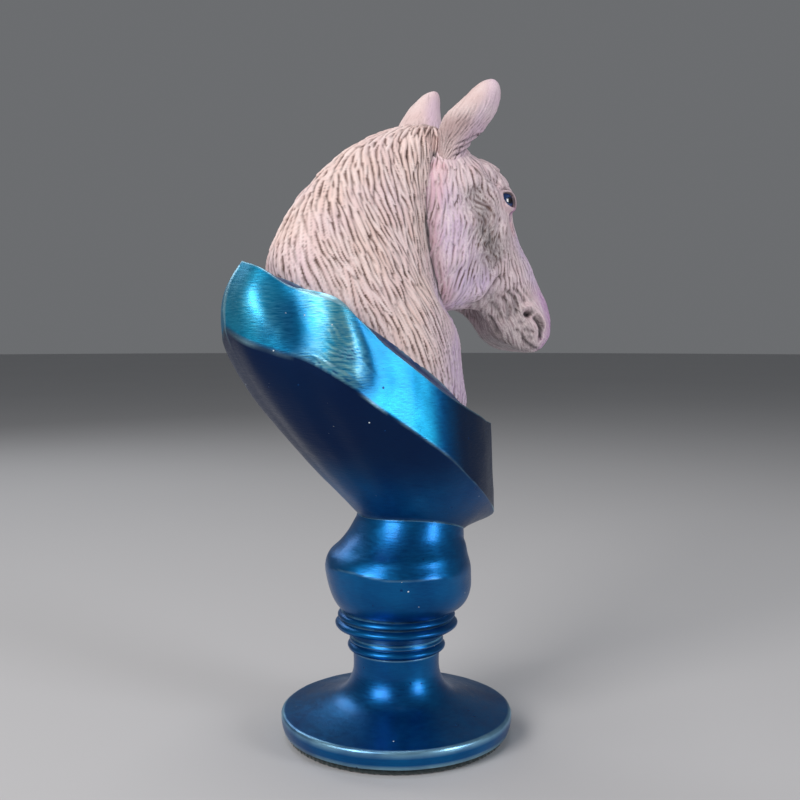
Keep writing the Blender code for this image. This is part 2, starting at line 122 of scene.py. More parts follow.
def even_ring(points: np.ndarray, count: int) -> np.ndarray:
    """Points spread evenly by length round a closed ring.

    Args:
        points: The ring's points, the first not repeated at the end.
        count: How many points to give.

    Returns:
        The evenly spread ring, which starts where it did.
    """
    return even_places(np.vstack([points, points[:1]]), count + 1)[:-1]


def rise(values: np.ndarray | float, low: float, high: float) -> np.ndarray:
    """Smooth step from 0 to 1.

    Args:
        values: What it is read at.
        low: Value up to which it is 0.
        high: Value from which it is 1.

    Returns:
        One share for each value.
    """
    part = np.clip((np.asarray(values, float) - low) / (high - low), 0, 1)
    return part * part * (3 - 2 * part)


def bell(values: np.ndarray, middle: float, width: float) -> np.ndarray:
    """Smooth hump of height 1 round a middle value."""
    return np.exp(-(((values - middle) / width) ** 2))


def mottle(points: np.ndarray, size: float, seed: int) -> np.ndarray:
    """Smooth noise between -1 and 1.

    Args:
        points: Where it is read.
        size: Width of its lumps.
        seed: Which of many patterns it is.

    Returns:
        One value for each point.
    """
    place = points / size
    cell = np.floor(place).astype(np.int64)
    part = place - cell
    part = part * part * (3 - 2 * part)
    total = np.zeros(points.shape[:-1])
    for corner in np.ndindex(2, 2, 2):
        spot = cell + corner
        key = spot[..., 0] * 73856093 ^ spot[..., 1] * 19349663 ^ spot[..., 2] * 83492791
        key = (key + seed * 7919) & 0xFFFFFFFF
        key = ((key ^ (key >> 15)) * 2246822519) & 0xFFFFFFFF
        key = ((key ^ (key >> 13)) * 3266489917) & 0xFFFFFFFF
        value = (key ^ (key >> 16)) / 2.0**31 - 1
        share = np.ones(total.shape)
        for axis in range(3):
            share = share * (part[..., axis] if corner[axis] else 1 - part[..., axis])
        total += share * value
    return total


def line_distance(places: np.ndarray, path: np.ndarray) -> tuple[np.ndarray, np.ndarray]:
    """How far flat places lie from a line of points, and beside which part of it.

    Args:
        places: Flat places, two numbers each.
        path: The line's points.

    Returns:
        The distances, and the share of the line passed at the nearest point.
    """
    nearest = np.full(places.shape[:-1], np.inf)
    passed = np.zeros(places.shape[:-1])
    for i in range(len(path) - 1):
        step = path[i + 1] - path[i]
        part = np.clip(((places - path[i]) @ step) / (step @ step), 0, 1)
        away = np.linalg.norm(places - path[i] - part[..., None] * step, axis=-1)
        closer = away < nearest
        nearest = np.where(closer, away, nearest)
        passed = np.where(closer, (i + part) / (len(path) - 1), passed)
    return nearest, passed


# ---------------------------------------------------------------- meshes


class Ends(Enum):
    """How the first and last ring of a skin are finished."""

    CAPPED = "capped"
    JOINED = "joined"


@dataclass
class Skin:
    """Closed skin through rings of points, with marks that its paint reads.

    Each ring runs from the back or top over the right side, and rings follow each other upwards or
    towards the muzzle, so that the faces point outwards.
    """

    points: np.ndarray
    ends: Ends = Ends.CAPPED
    marks: dict[str, np.ndarray] = field(default_factory=dict)

    def normals(self) -> np.ndarray:
        """Directions out of the skin.

        Returns:
            One unit direction for every point.
        """
        around = np.roll(self.points, -1, axis=1) - np.roll(self.points, 1, axis=1)
        along = np.gradient(self.points, axis=0)
        out = np.cross(around, along)
        length = np.linalg.norm(out, axis=-1, keepdims=True)
        return out / np.maximum(length, 1e-9)

    def push(self, height: np.ndarray) -> None:
        """Move every point out of the skin by its own height."""
        self.points = self.points + self.normals() * height[..., None]

    def make(self, name: str) -> bpy.types.Object:
        """Make the skin a mesh object.

        Args:
            name: The object's name.

        Returns:
            The object, at the origin, with its marks as point attributes.
        """
        count, steps = self.points.shape[:2]
        numbers = np.arange(count * steps).reshape(count, steps)
        low = numbers[:-1] if self.ends is Ends.CAPPED else numbers
        high = numbers[1:] if self.ends is Ends.CAPPED else np.roll(numbers, -1, axis=0)
        corners = (low, np.roll(low, -1, axis=1), np.roll(high, -1, axis=1), high)
        faces = np.stack(corners, axis=-1).reshape(-1, 4)
        triangles = np.zeros((0, 3), int)
        places = self.points.reshape(-1, 3)
        if self.ends is Ends.CAPPED:
            places = np.vstack([places, self.points[0].mean(axis=0), self.points[-1].mean(axis=0)])
            first, last = numbers[0], numbers[-1]
            bottom = (np.roll(first, -1), first, np.full(steps, count * steps))
            top = (last, np.roll(last, -1), np.full(steps, count * steps + 1))
            triangles = np.vstack([np.stack(bottom, axis=-1), np.stack(top, axis=-1)])
        mesh = bpy.data.meshes.new(name)
        mesh.from_pydata((places * MM).tolist(), [], faces.tolist() + triangles.tolist())
        mesh.shade_smooth()
        for mark, values in self.marks.items():
            ends = np.zeros(len(places) - count * steps)
            add_mark(mesh, mark, np.concatenate([values.ravel(), ends]))
        piece = bpy.data.objects.new(name, mesh)
        bpy.context.collection.objects.link(piece)
        return piece


def use_only(piece: bpy.types.Object) -> None:
    """Make one object the only selected and active one.

    Args:
        piece: The object.
    """
    bpy.ops.object.select_all(action="DESELECT")
    piece.select_set(True)
    bpy.context.view_layer.objects.active = piece


def add_modifier(piece: bpy.types.Object, name: str, kind: str, **settings: object) -> None:
    """Add a modifier with its settings and apply it.

    Args:
        piece: The object it shapes.
        name: The modifier's name.
        kind: Blender's name of its type.
        settings: Values for its properties.
    """
    use_only(piece)
    modifier = piece.modifiers.new(name, kind)
    for key, value in settings.items():
        setattr(modifier, key, value)
    bpy.ops.object.modifier_apply(modifier=name)


def round_edges(piece: bpy.types.Object, width: float, angle: float) -> None:
    """Round a piece's sharp edges so that they catch the light.

    Args:
        piece: The mesh object.
        width: Width of the rounding.
        angle: Degrees of bend from which an edge counts as sharp.
    """
    add_modifier(piece, "rounded_edges", "BEVEL", width=width * MM, segments=2,
                 limit_method="ANGLE", angle_limit=radians(angle), harden_normals=False)


def places_of(mesh: bpy.types.Mesh) -> np.ndarray:
    """Places of a mesh's points.

    Args:
        mesh: The mesh.

    Returns:
        One place for each point, in metres.
    """
    places = np.zeros(len(mesh.vertices) * 3)
    mesh.vertices.foreach_get("co", places)
    return places.reshape(-1, 3)


def normals_of(mesh: bpy.types.Mesh) -> np.ndarray:
    """Unit directions out of a mesh at its points.

    Args:
        mesh: The mesh.

    Returns:
        One direction for each point.
    """
    out = np.zeros(len(mesh.vertices) * 3, dtype=np.float32)
    mesh.vertex_normals.foreach_get("vector", out)
    return out.reshape(-1, 3)


def add_mark(mesh: bpy.types.Mesh, name: str, values: np.ndarray) -> None:
    """Store one value for each point, for the paint to read.

    Args:
        mesh: The mesh.
        name: The mark's name.
        values: Its values.
    """
    layer = mesh.attributes.new(name, "FLOAT", "POINT")
    layer.data.foreach_set("value", values.astype(np.float32))


def mark_edges(piece: bpy.types.Object, reach: float) -> None:
    """Mark how proud each point stands, as edge, and how deep it lies, as cavity.

    Args:
        piece: The mesh object to mark.
        reach: How much of a bend counts as a full edge; under two fifths of it counts for nothing.
    """
    mesh = piece.data
    count = len(mesh.vertices)
    places = places_of(mesh)
    out = normals_of(mesh)
    ends = np.zeros(len(mesh.edges) * 2, dtype=np.int32)
    mesh.edges.foreach_get("vertices", ends)
    first, second = ends.reshape(-1, 2).T
    step = places[second] - places[first]
    step /= np.maximum(np.linalg.norm(step, axis=1, keepdims=True), 1e-9)
    bend = np.bincount(first, -(step * out[first]).sum(axis=1), count)
    bend += np.bincount(second, (step * out[second]).sum(axis=1), count)
    joined = np.bincount(first, minlength=count) + np.bincount(second, minlength=count)
    bend /= np.maximum(joined, 1) * reach
    for mark, values in (("edge", bend), ("cavity", -bend)):
        add_mark(mesh, mark, np.clip(values * 1.6 - 0.6, 0, 1))


def turn_on_lathe(name: str, outline: list[Row], steps: int) -> bpy.types.Object:
    """Ring-shaped solid drawn up from a circle, ring after ring, and closed on itself.

    Args:
        name: The object's name.
        outline: Radius, height and shift forward of each ring, round the whole section.
        steps: Points round each ring.

    Returns:
        The solid, with its place in its mesh.
    """
    bpy.ops.object.select_all(action="DESELECT")
    radius, height, forward = outline[0]
    place = Vector(at(forward, 0, height)) * MM
    bpy.ops.mesh.primitive_circle_add(vertices=steps, radius=radius * MM, location=place)
    piece = bpy.context.active_object
    piece.name = name
    piece.data.name = name
    bpy.ops.object.mode_set(mode="EDIT")
    bpy.ops.mesh.select_all(action="SELECT")
    for next_radius, next_height, next_forward in outline[1:]:
        next_place = Vector(at(next_forward, 0, next_height)) * MM
        bpy.ops.mesh.extrude_region_move(TRANSFORM_OT_translate={"value": next_place - place})
        growth = next_radius / radius
        bpy.ops.transform.resize(value=(growth, growth, 1), center_override=next_place)
        place = next_place
        radius = next_radius
    bpy.ops.mesh.select_all(action="DESELECT")
    bpy.ops.mesh.select_mode(type="EDGE")
    bpy.ops.mesh.select_non_manifold()
    bpy.ops.mesh.bridge_edge_loops()
    bpy.ops.mesh.select_all(action="SELECT")
    bpy.ops.mesh.normals_make_consistent(inside=False)
    bpy.ops.mesh.select_mode(type="VERT")
    bpy.ops.object.mode_set(mode="OBJECT")
    bpy.ops.object.transform_apply(location=True, rotation=True, scale=True)
    bpy.ops.object.shade_smooth()
    return piece


def roughen(piece: bpy.types.Object, amount: float, size: float) -> None:
    """Give a cast surface the slight waves it has.

    Args:
        piece: The mesh object.
        amount: Height of the waves.
        size: Width of the waves.
    """
    mesh = piece.data
    places = places_of(mesh)
    waves = mottle(places / MM, size, 5) + 0.4 * mottle(places / MM, size / 2.3, 6)
    places += normals_of(mesh) * (waves * amount * MM)[:, None]
    mesh.vertices.foreach_set("co", places.ravel())
    mesh.update()


# ---------------------------------------------------------------- paint recipes


class Recipe:
    """Node tree of one finish, with short ways to add and join its nodes."""

    def __init__(self, name: str) -> None:
        """Start a finish that has nothing but its shader.

        Args:
            name: The material's name.
        """
        self.material = bpy.data.materials.new(name)
        self.material.use_nodes = True
        self.tree = self.material.node_tree
        self.shader = self.tree.nodes["Principled BSDF"]
        self.place = self.add("ShaderNodeTexCoord").outputs["Object"]

    def add(self, kind: str, **settings: object) -> bpy.types.Node:
        """Add a node and set its properties.

        Args:
            kind: Blender's name of its type.
            settings: Values for its properties.

        Returns:
            The node.
        """
        node = self.tree.nodes.new(kind)
        for key, value in settings.items():
            setattr(node, key, value)
        return node

    def join(self, source: object, socket: bpy.types.NodeSocket) -> None:
        """Feed a socket.

        Args:
            source: Another socket, a number or a colour.
            socket: The socket that it feeds.
        """
        if isinstance(source, bpy.types.NodeSocket):
            self.tree.links.new(source, socket)
        elif isinstance(source, tuple) and len(source) == 3 and socket.type == "RGBA":
            socket.default_value = (*source, 1.0)
        else:
            socket.default_value = source

    def plus(self, first: object, share: float, second: object) -> bpy.types.NodeSocket:
        """A share of one value added to another."""
        return self.maths("ADD", self.maths("MULTIPLY", first, share), second)

    def mark(self, name: str) -> bpy.types.NodeSocket:
        """Value of one of the piece's marks."""
        return self.add("ShaderNodeAttribute", attribute_name=name).outputs["Fac"]

    def stretched(self, turn: Row, scale: Row) -> bpy.types.NodeSocket:
        """Object places turned and stretched.

        Args:
            turn: Degrees about X, Y and Z.
            scale: Scale along X, Y and Z.

        Returns:
            The places.
        """
        node = self.add("ShaderNodeMapping", vector_type="POINT")
        self.join(self.place, node.inputs["Vector"])
        node.inputs["Rotation"].default_value = tuple(radians(angle) for angle in turn)
        node.inputs["Scale"].default_value = scale
        return node.outputs["Vector"]

    def noise(self, size: float, detail: float = 3.0, place: object = None) -> bpy.types.NodeSocket:
        """Noise between 0 and 1.

        Args:
            size: Width of its lumps.
            detail: How many finer layers it has.
            place: Where it is read, if not at the object's own places.

        Returns:
            The noise value.
        """
        node = self.add("ShaderNodeTexNoise")
        self.join(self.place if place is None else place, node.inputs["Vector"])
        node.inputs["Scale"].default_value = 1 / (size * MM)
        node.inputs["Detail"].default_value = detail
        return node.outputs["Fac"]

    def specks(self, spacing: float, size: float, chosen: float) -> bpy.types.NodeSocket:
        """Round specks at random places.

        Args:
            spacing: Usual distance between places where one could be.
            size: Radius of a speck.
            chosen: Share of the places that have one.

        Returns:
            1 inside a speck and 0 outside.
        """
        node = self.add("ShaderNodeTexVoronoi")
        self.join(self.place, node.inputs["Vector"])
        node.inputs["Scale"].default_value = 1 / (spacing * MM)
        draw = self.add("ShaderNodeSeparateColor")
        self.join(node.outputs["Color"], draw.inputs["Color"])
        reach = self.maths("MULTIPLY", draw.outputs["Green"], size / spacing)
        near = self.maths("SUBTRACT", reach, node.outputs["Distance"])
        inside = self.between(near, 0.0, 0.02)
        picked = self.maths("LESS_THAN", draw.outputs["Red"], chosen)
        return self.maths("MULTIPLY", inside, picked)

    def maths(self, operation: str, first: object, second: object = 0.0) -> bpy.types.NodeSocket:
        """Result of one sum.

        Args:
            operation: Blender's name of it.
            first: Its first value.
            second: Its second value, if it takes two.

        Returns:
            The result.
        """
        node = self.add("ShaderNodeMath", operation=operation)
        self.join(first, node.inputs[0])
        self.join(second, node.inputs[1])
        return node.outputs["Value"]

    def between(self, value: object, low: float, high: float) -> bpy.types.NodeSocket:
        """Value moved and scaled to a share, and held between 0 and 1.

        Args:
            value: The value.
            low: What becomes 0.
            high: What becomes 1.

        Returns:
            The share.
        """
        node = self.add("ShaderNodeMapRange")
        self.join(value, node.inputs["Value"])
        node.inputs["From Min"].default_value = low
        node.inputs["From Max"].default_value = high
        return node.outputs["Result"]

    def blend(self, share: object, first: object, second: object) -> bpy.types.NodeSocket:
        """Mixture of two colours.

        Args:
            share: How much of the second it has, from 0 to 1.
            first: The first colour.
            second: The second colour.

        Returns:
            The mixed colour.
        """
        node = self.add("ShaderNodeMix", data_type="RGBA")
        self.join(share, node.inputs["Factor"])
        self.join(first, node.inputs[6])
        self.join(second, node.inputs[7])
        return node.outputs[2]

    def bump(self, height: object, distance: float, below: object = None) -> bpy.types.NodeSocket:
        """Normal of a surface with a fine relief.

        Args:
            height: Relief between 0 and 1.
            distance: How far 1 stands out.
            below: Normal of a relief that this one lies on.

        Returns:
            The normal.
        """
        node = self.add("ShaderNodeBump")
        node.inputs["Distance"].default_value = distance * MM
        self.join(height, node.inputs["Height"])
        if below is not None:
            self.join(below, node.inputs["Normal"])
        return node.outputs["Normal"]

    def finish(self, colour: object, roughness: object, normal: object) -> bpy.types.Material:
        """Join the results to the shader.

        Args:
            colour: Base colour.
            roughness: Roughness.
            normal: Normal with its relief, or None for a plain surface.

        Returns:
            The finished material.
        """
        self.join(colour, self.shader.inputs["Base Color"])
        self.join(roughness, self.shader.inputs["Roughness"])
        if normal is not None:
            self.join(normal, self.shader.inputs["Normal"])
        return self.material


@dataclass(frozen=True)
class BluePaint:
    """Metallic blue paint, brushed over a cast surface with small pits and caught dust, with painted
    light, painted highlights and painted shade laid by marks.
    """

    name: str = "brushed_blue_paint"
    stroke_slope: float = 0.0
    # painted shade: near-black navy laid on the shell's underside and front facets
    shade: Colour = (0.001, 0.012, 0.060)
    deep: Colour = (0.001, 0.050, 0.200)
    azure: Colour = (0.003, 0.150, 0.400)
    # painted light: bright azure laid on the shell's side panels where they face the lamps
    painted_light_blue: Colour = (0.012, 0.400, 0.640)
    # painted highlight: teal-cream sheen on the shell's shoulder bulges and rear lobes
    teal: Colour = (0.300, 0.580, 0.520)
    # worn: pale cyan of paint worn on sharp edges, also a painted highlight line along them
    worn: Colour = (0.420, 0.760, 0.900)
    dust: Colour = (0.620, 0.720, 0.780)
    satin: float = 0.22
    brushing: float = 0.045
    metallic: float = 0.86
    varnish: float = 0.12

    def material(self) -> bpy.types.Material:
        """Make the finish.

        Returns:
            Its material.
        """
        recipe = Recipe(self.name)
        strokes = recipe.stretched((self.stroke_slope, 0, 0), (0.16, 0.16, 1.0))
        patches = recipe.noise(16.0, 3.0)
        streaks = recipe.noise(0.40, 4.0, strokes)
        flakes = recipe.noise(0.12, 1.0)
        tone = recipe.plus(patches, 0.7, recipe.maths("MULTIPLY", streaks, 0.3))
        colour = recipe.blend(recipe.between(tone, 0.25, 0.75), self.deep, self.azure)
        # Painted light: the lit mark brightens the shell's side panels towards this azure.
        lit = recipe.maths("MULTIPLY", recipe.mark("lit"), recipe.between(tone, 0.0, 0.6))
        colour = recipe.blend(lit, colour, self.painted_light_blue)
        # Painted shade: the shade mark darkens the shell's underside and front facets.
        colour = recipe.blend(recipe.mark("shade"), colour, self.shade)
        # Painted highlight: teal-cream sheen where the shell's shoulders and rear lobes catch the
        # light.
        painted_shoulder_highlight = recipe.maths("MULTIPLY", recipe.mark("teal"), recipe.between(streaks, 0.30, 0.70))
        colour = recipe.blend(painted_shoulder_highlight, colour, self.teal)
        # Worn paint and painted highlight: sharp edges turn pale cyan in uneven patches.
        worn_edge_and_highlight = recipe.maths("MULTIPLY", recipe.mark("edge"), recipe.between(patches, 0.25, 0.6))
        colour = recipe.blend(recipe.maths("MULTIPLY", worn_edge_and_highlight, 0.85), colour, self.worn)
        pits = recipe.specks(3.4, 0.50, 0.30)
        colour = recipe.blend(recipe.maths("MAXIMUM", pits, recipe.mark("cavity")), colour, self.deep)
        motes = recipe.specks(2.6, 0.26, 0.16)
        colour = recipe.blend(motes, colour, self.dust)
        roughness = recipe.plus(streaks, 0.24, self.satin)
        relief = recipe.bump(streaks, self.brushing)
        relief = recipe.bump(flakes, 0.012, relief)
        relief = recipe.bump(recipe.maths("SUBTRACT", motes, pits), 0.12, relief)
        metal = recipe.maths("SUBTRACT", self.metallic, recipe.maths("MULTIPLY", motes, self.metallic))
        recipe.join(metal, recipe.shader.inputs["Metallic"])
        recipe.shader.inputs["Specular IOR Level"].default_value = 0.2
        recipe.shader.inputs["Coat Weight"].default_value = self.varnish
        recipe.shader.inputs["Coat Roughness"].default_value = 0.22
        return recipe.finish(colour, roughness, relief)


@dataclass(frozen=True)
class HorsePaint:
    """Pale grey coat: a light base, tinted glazes and a dark wash that lies in the grooves."""

    name: str = "dapple_grey_coat"
    cream: Colour = (0.760, 0.560, 0.510)
    warm: Colour = (0.840, 0.640, 0.580)
    lilac: Colour = (0.620, 0.470, 0.680)
    pink: Colour = (0.640, 0.330, 0.360)
    # smoke: grey-brown glaze, also laid as painted shade under the jaw
    smoke: Colour = (0.205, 0.165, 0.170)
    mauve: Colour = (0.480, 0.240, 0.500)
    wash: Colour = (0.115, 0.062, 0.048)
    ink: Colour = (0.018, 0.012, 0.018)
    dry_brush: Colour = (0.920, 0.830, 0.820)

    def material(self) -> bpy.types.Material:
        """Make the finish.

        Returns:
            Its material.
        """
        recipe = Recipe(self.name)
        clouds = recipe.noise(7.0, 4.0)
        grain = recipe.noise(0.45, 3.0)
        colour = recipe.blend(recipe.between(clouds, 0.35, 0.65), self.cream, self.warm)
        glazes = {"lilac": self.lilac, "pink": self.pink, "smoke": self.smoke, "mauve": self.mauve}
        for mark, tint in glazes.items():
            uneven = recipe.maths("MULTIPLY", recipe.mark(mark), recipe.between(clouds, 0.05, 0.75))
            strength = recipe.plus(recipe.mark(mark), 0.45, uneven)
            colour = recipe.blend(recipe.maths("MINIMUM", strength, 1.0), colour, tint)
        hairline = recipe.maths("SINE", recipe.maths("MULTIPLY", recipe.mark("across"), 9.0))
        fine = recipe.maths("MULTIPLY", hairline, 0.5)
        raised = recipe.between(recipe.mark("tone"), 0.2, 1.0)
        highlight = recipe.maths("MULTIPLY", raised, recipe.between(grain, 0.20, 0.6))
        colour = recipe.blend(recipe.maths("MULTIPLY", highlight, 0.60), colour, self.dry_brush)
        wash = recipe.maths("MULTIPLY", recipe.mark("groove"), recipe.between(grain, -0.1, 0.5))
        colour = recipe.blend(wash, colour, self.wash)
        colour = recipe.blend(recipe.mark("ink"), colour, self.ink)
        roughness = recipe.plus(grain, 0.25, 0.42)
        relief = recipe.bump(fine, 0.035)
        relief = recipe.bump(grain, 0.030, relief)
        return recipe.finish(colour, roughness, relief)


@dataclass(frozen=True)
class EyeGloss:
    """Dark blue gloss with a pupil, under clear varnish."""

    name: str = "dark_blue_eye_gloss"
    ball: Colour = (0.006, 0.010, 0.030)
    iris: Colour = (0.010, 0.035, 0.140)
    bright_iris: Colour = (0.022, 0.070, 0.210)
    pupil: Colour = (0.001, 0.001, 0.004)

    def material(self) -> bpy.types.Material:
        """Make the finish.

        Returns:
            Its material.
        """
        recipe = Recipe(self.name)
        rays = recipe.noise(0.7, 3.0)
        iris = recipe.blend(recipe.between(rays, 0.3, 0.7), self.iris, self.bright_iris)
        colour = recipe.blend(recipe.mark("iris"), self.ball, iris)
        colour = recipe.blend(recipe.mark("pupil"), colour, self.pupil)
        recipe.shader.inputs["Coat Weight"].default_value = 1.0
        recipe.shader.inputs["Coat Roughness"].default_value = 0.03
        roughness = recipe.plus(rays, 0.1, 0.12)
        return recipe.finish(colour, roughness, recipe.bump(rays, 0.01))


@dataclass(frozen=True)
class Steel:
    """Bright steel with faint turning lines and dull spots."""

    name: str = "turned_steel"
    bright: Colour = (0.560, 0.570, 0.590)
    dull: Colour = (0.300, 0.290, 0.280)

    def material(self) -> bpy.types.Material:
        """Make the finish.

        Returns:
            Its material.
        """
        recipe = Recipe(self.name)
        spots = recipe.noise(2.5, 4.0)
        lines = recipe.noise(0.25, 2.0, recipe.stretched((0, 0, 0), (0.1, 0.1, 1.0)))
        colour = recipe.blend(recipe.between(spots, 0.4, 0.7), self.bright, self.dull)
        recipe.shader.inputs["Metallic"].default_value = 1.0
        roughness = recipe.plus(lines, 0.25, 0.22)
        return recipe.finish(colour, roughness, recipe.bump(lines, 0.02))


@dataclass(frozen=True)
class Felt:
    """Pressed dark green-black felt."""

    name: str = "pressed_felt"
    dark: Colour = (0.006, 0.014, 0.016)
    light: Colour = (0.030, 0.050, 0.052)

    def material(self) -> bpy.types.Material:
        """Make the finish.

        Returns:
            Its material.
        """
        recipe = Recipe(self.name)
        fibres = recipe.noise(0.30, 5.0)
        tufts = recipe.noise(2.2, 3.0)
        worn = recipe.between(tufts, 0.2, 0.7)
        share = recipe.maths("MULTIPLY", recipe.between(fibres, 0.3, 0.7), worn)
        colour = recipe.blend(share, self.dark, self.light)
        recipe.shader.inputs["Sheen Weight"].default_value = 0.5
        return recipe.finish(colour, recipe.between(tufts, -6.0, 0.8), recipe.bump(fibres, 0.15))


@dataclass(frozen=True)
class StudioFloor:
    """Plain pale floor."""

    name: str = "pale_studio_floor"
    pale: Colour = (0.52, 0.52, 0.53)
    paler: Colour = (0.55, 0.55, 0.56)

    def material(self) -> bpy.types.Material:
        """Make the finish.

        Returns:
            Its material.
        """
        recipe = Recipe(self.name)
        colour = recipe.blend(recipe.noise(400.0, 2.0), self.pale, self.paler)
        return recipe.finish(colour, recipe.between(recipe.noise(60.0), -4.0, 1.0), None)


def dress(piece: bpy.types.Object, material: bpy.types.Material) -> None:
    """Give a piece its one material, and let it ride with the frame.

    Args:
        piece: The object.
        material: Its material.
    """
    piece.data.materials.clear()
    piece.data.materials.append(material)
    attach(piece, "root")
    log.info("%s: %d faces", piece.name, len(piece.data.polygons))


# ---------------------------------------------------------------- sculpted hair


@dataclass
class Lay:
    """A coat as laid on the points of a skin.

    It holds their heights, how bright their locks are, their places across them, and how near they
    are to the locks' middles.
    """

    height: np.ndarray
    tone: np.ndarray
    across: np.ndarray
    core: np.ndarray

    def softened(self) -> Lay:
        """Smooth the coat's finest steps away.

        Returns:
            The smoother coat.
        """
        around = [np.roll(self.height, shift, axis) for shift in (1, -1) for axis in (0, 1)]
        cores = [np.roll(self.core, shift, axis) for shift in (1, -1) for axis in (0, 1)]
        height = 0.5 * self.height + 0.125 * sum(around)
        return Lay(height, self.tone, self.across, 0.5 * self.core + 0.125 * sum(cores))

    def slits(self, depth: float) -> np.ndarray:
        """Find the slits between locks.

        Args:
            depth: How far down counts as the bottom of one.

        Returns:
            How deep in a slit each point lies, from 0 to 1.
        """
        level = self.height.copy()
        for shift in (1, 2, 3):
            for axis in (0, 1):
                level += np.roll(self.height, shift, axis) + np.roll(self.height, -shift, axis)
        sunk = np.clip((level / 13 - self.height) / depth, 0, 1)
        return np.clip(np.maximum(sunk, 0.8 * rise(1 - self.core, 0.45, 1.0)), 0, 1)


Flow = Callable[[np.ndarray, np.ndarray, np.ndarray], np.ndarray]
Scale = Callable[[np.ndarray, np.ndarray, np.ndarray], tuple[np.ndarray, ...]]


@dataclass(frozen=True)
class Coat:
    """Short sculpted hair, laid as overlapping tapered locks."""

    locks: int
    length: float
    width: float
    height: float
    seed: int
    uneven: float = 0.35
    sway: float = 0.30
    sway_size: float = 6.0

    def comb(self, skin: Skin, flow: Flow, scale: Scale) -> Lay:
        """Lay the locks over a skin.

        Args:
            skin: The skin, before the locks are raised on it.
            flow: Gives the direction in which hair lies at points on given rows and columns.
            scale: Gives how much longer, wider and higher the locks are there.

        Returns:
            The coat as laid.
        """
        points = skin.points
        normals = skin.normals()
        rows, steps = points.shape[:2]
        along_step = np.linalg.norm(np.gradient(points, axis=0), axis=-1)
        around_step = np.linalg.norm(np.roll(points, -1, axis=1) - points, axis=-1)
        area = along_step * around_step
        row, column = self.scatter(area)
        start = points[row, column]
        out = normals[row, column]
        rng = np.random.default_rng(self.seed)
        direction = flow(start, row, column)
        swaying = [mottle(start, self.sway_size, self.seed + axis) for axis in (1, 2, 3)]
        direction = direction + self.sway * np.stack(swaying, axis=1)
        direction = direction + self.uneven * 0.2 * rng.normal(size=direction.shape)
        direction -= out * (direction * out).sum(axis=1, keepdims=True)
        direction /= np.linalg.norm(direction, axis=1, keepdims=True)
        beside = np.cross(direction, out)
        longer, wider, higher = scale(start, row, column)
        spread = 1 + self.uneven * rng.uniform(-1, 1, size=(3, len(row)))
        length = self.length * longer * spread[0]
        width = self.width * wider * spread[1]
        height = self.height * higher * spread[2]
        curl = rng.normal(size=len(row)) * 0.10 * self.uneven
        shine = rng.uniform(0, 1, size=len(row))
        laid = Lay(*(np.zeros((rows, steps)) for _ in range(4)))
        reach = length * 0.55
        row_reach = np.ceil(reach / np.maximum(along_step[row, column], 0.05)).astype(int) + 1
        step_reach = np.ceil(reach / np.maximum(around_step[row, column], 0.05)).astype(int) + 1
        for k in range(len(row)):
            if height[k] <= 0.001:
                continue
            near_rows = np.arange(max(row[k] - row_reach[k], 0), min(row[k] + row_reach[k] + 1, rows))
            half = min(step_reach[k], steps // 2 - 1)
            near_steps = (column[k] + np.arange(-half, half + 1)) % steps
            window = np.ix_(near_rows, near_steps)
            offset = points[window] - start[k]
            down = (offset @ direction[k]) / length[k] + 0.5
            side = (offset @ beside[k]) / width[k] - curl[k] * (down - 0.5) ** 2 * 8
            inside = (down > 0) & (down < 1) & ((normals[window] @ out[k]) > 0.2)
            taper = np.clip(np.sin(pi * np.clip(down, 0, 1) ** 0.8), 0, 1) ** 0.6
            ridge = 1 - (side / np.maximum(taper, 0.02)) ** 2
            lift = (0.40 + 0.60 * down) * height[k]
            lock = np.where(inside & (ridge > 0), lift * np.clip(ridge, 0, 1) ** 0.7, 0)
            over = lock > laid.height[window]
            laid.height[window] = np.where(over, lock, laid.height[window])
            laid.tone[window] = np.where(over, shine[k], laid.tone[window])
            laid.across[window] = np.where(over, side, laid.across[window])
            laid.core[window] = np.where(over, np.clip(ridge, 0, 1), laid.core[window])
        return laid

    def scatter(self, area: np.ndarray) -> tuple[np.ndarray, np.ndarray]:
        """Spread the locks' places evenly over a skin.

        Args:
            area: Area that belongs to each of the skin's points.

        Returns:
            Row and column of each lock's place.
        """
        count = np.arange(self.locks)
        by_row = np.cumsum(area.sum(axis=1))
        row = np.searchsorted(by_row, ((0.5 + count * 0.7548776662) % 1) * by_row[-1])
        row = np.clip(row, 0, area.shape[0] - 1)
        by_column = np.cumsum(area, axis=1)
        wanted = ((0.5 + count * 0.5698402910) % 1) * by_column[row, -1]
        column = (by_column[row] < wanted[:, None]).sum(axis=1)
        return row, np.clip(column, 0, area.shape[1] - 1)


# ---------------------------------------------------------------- pedestal


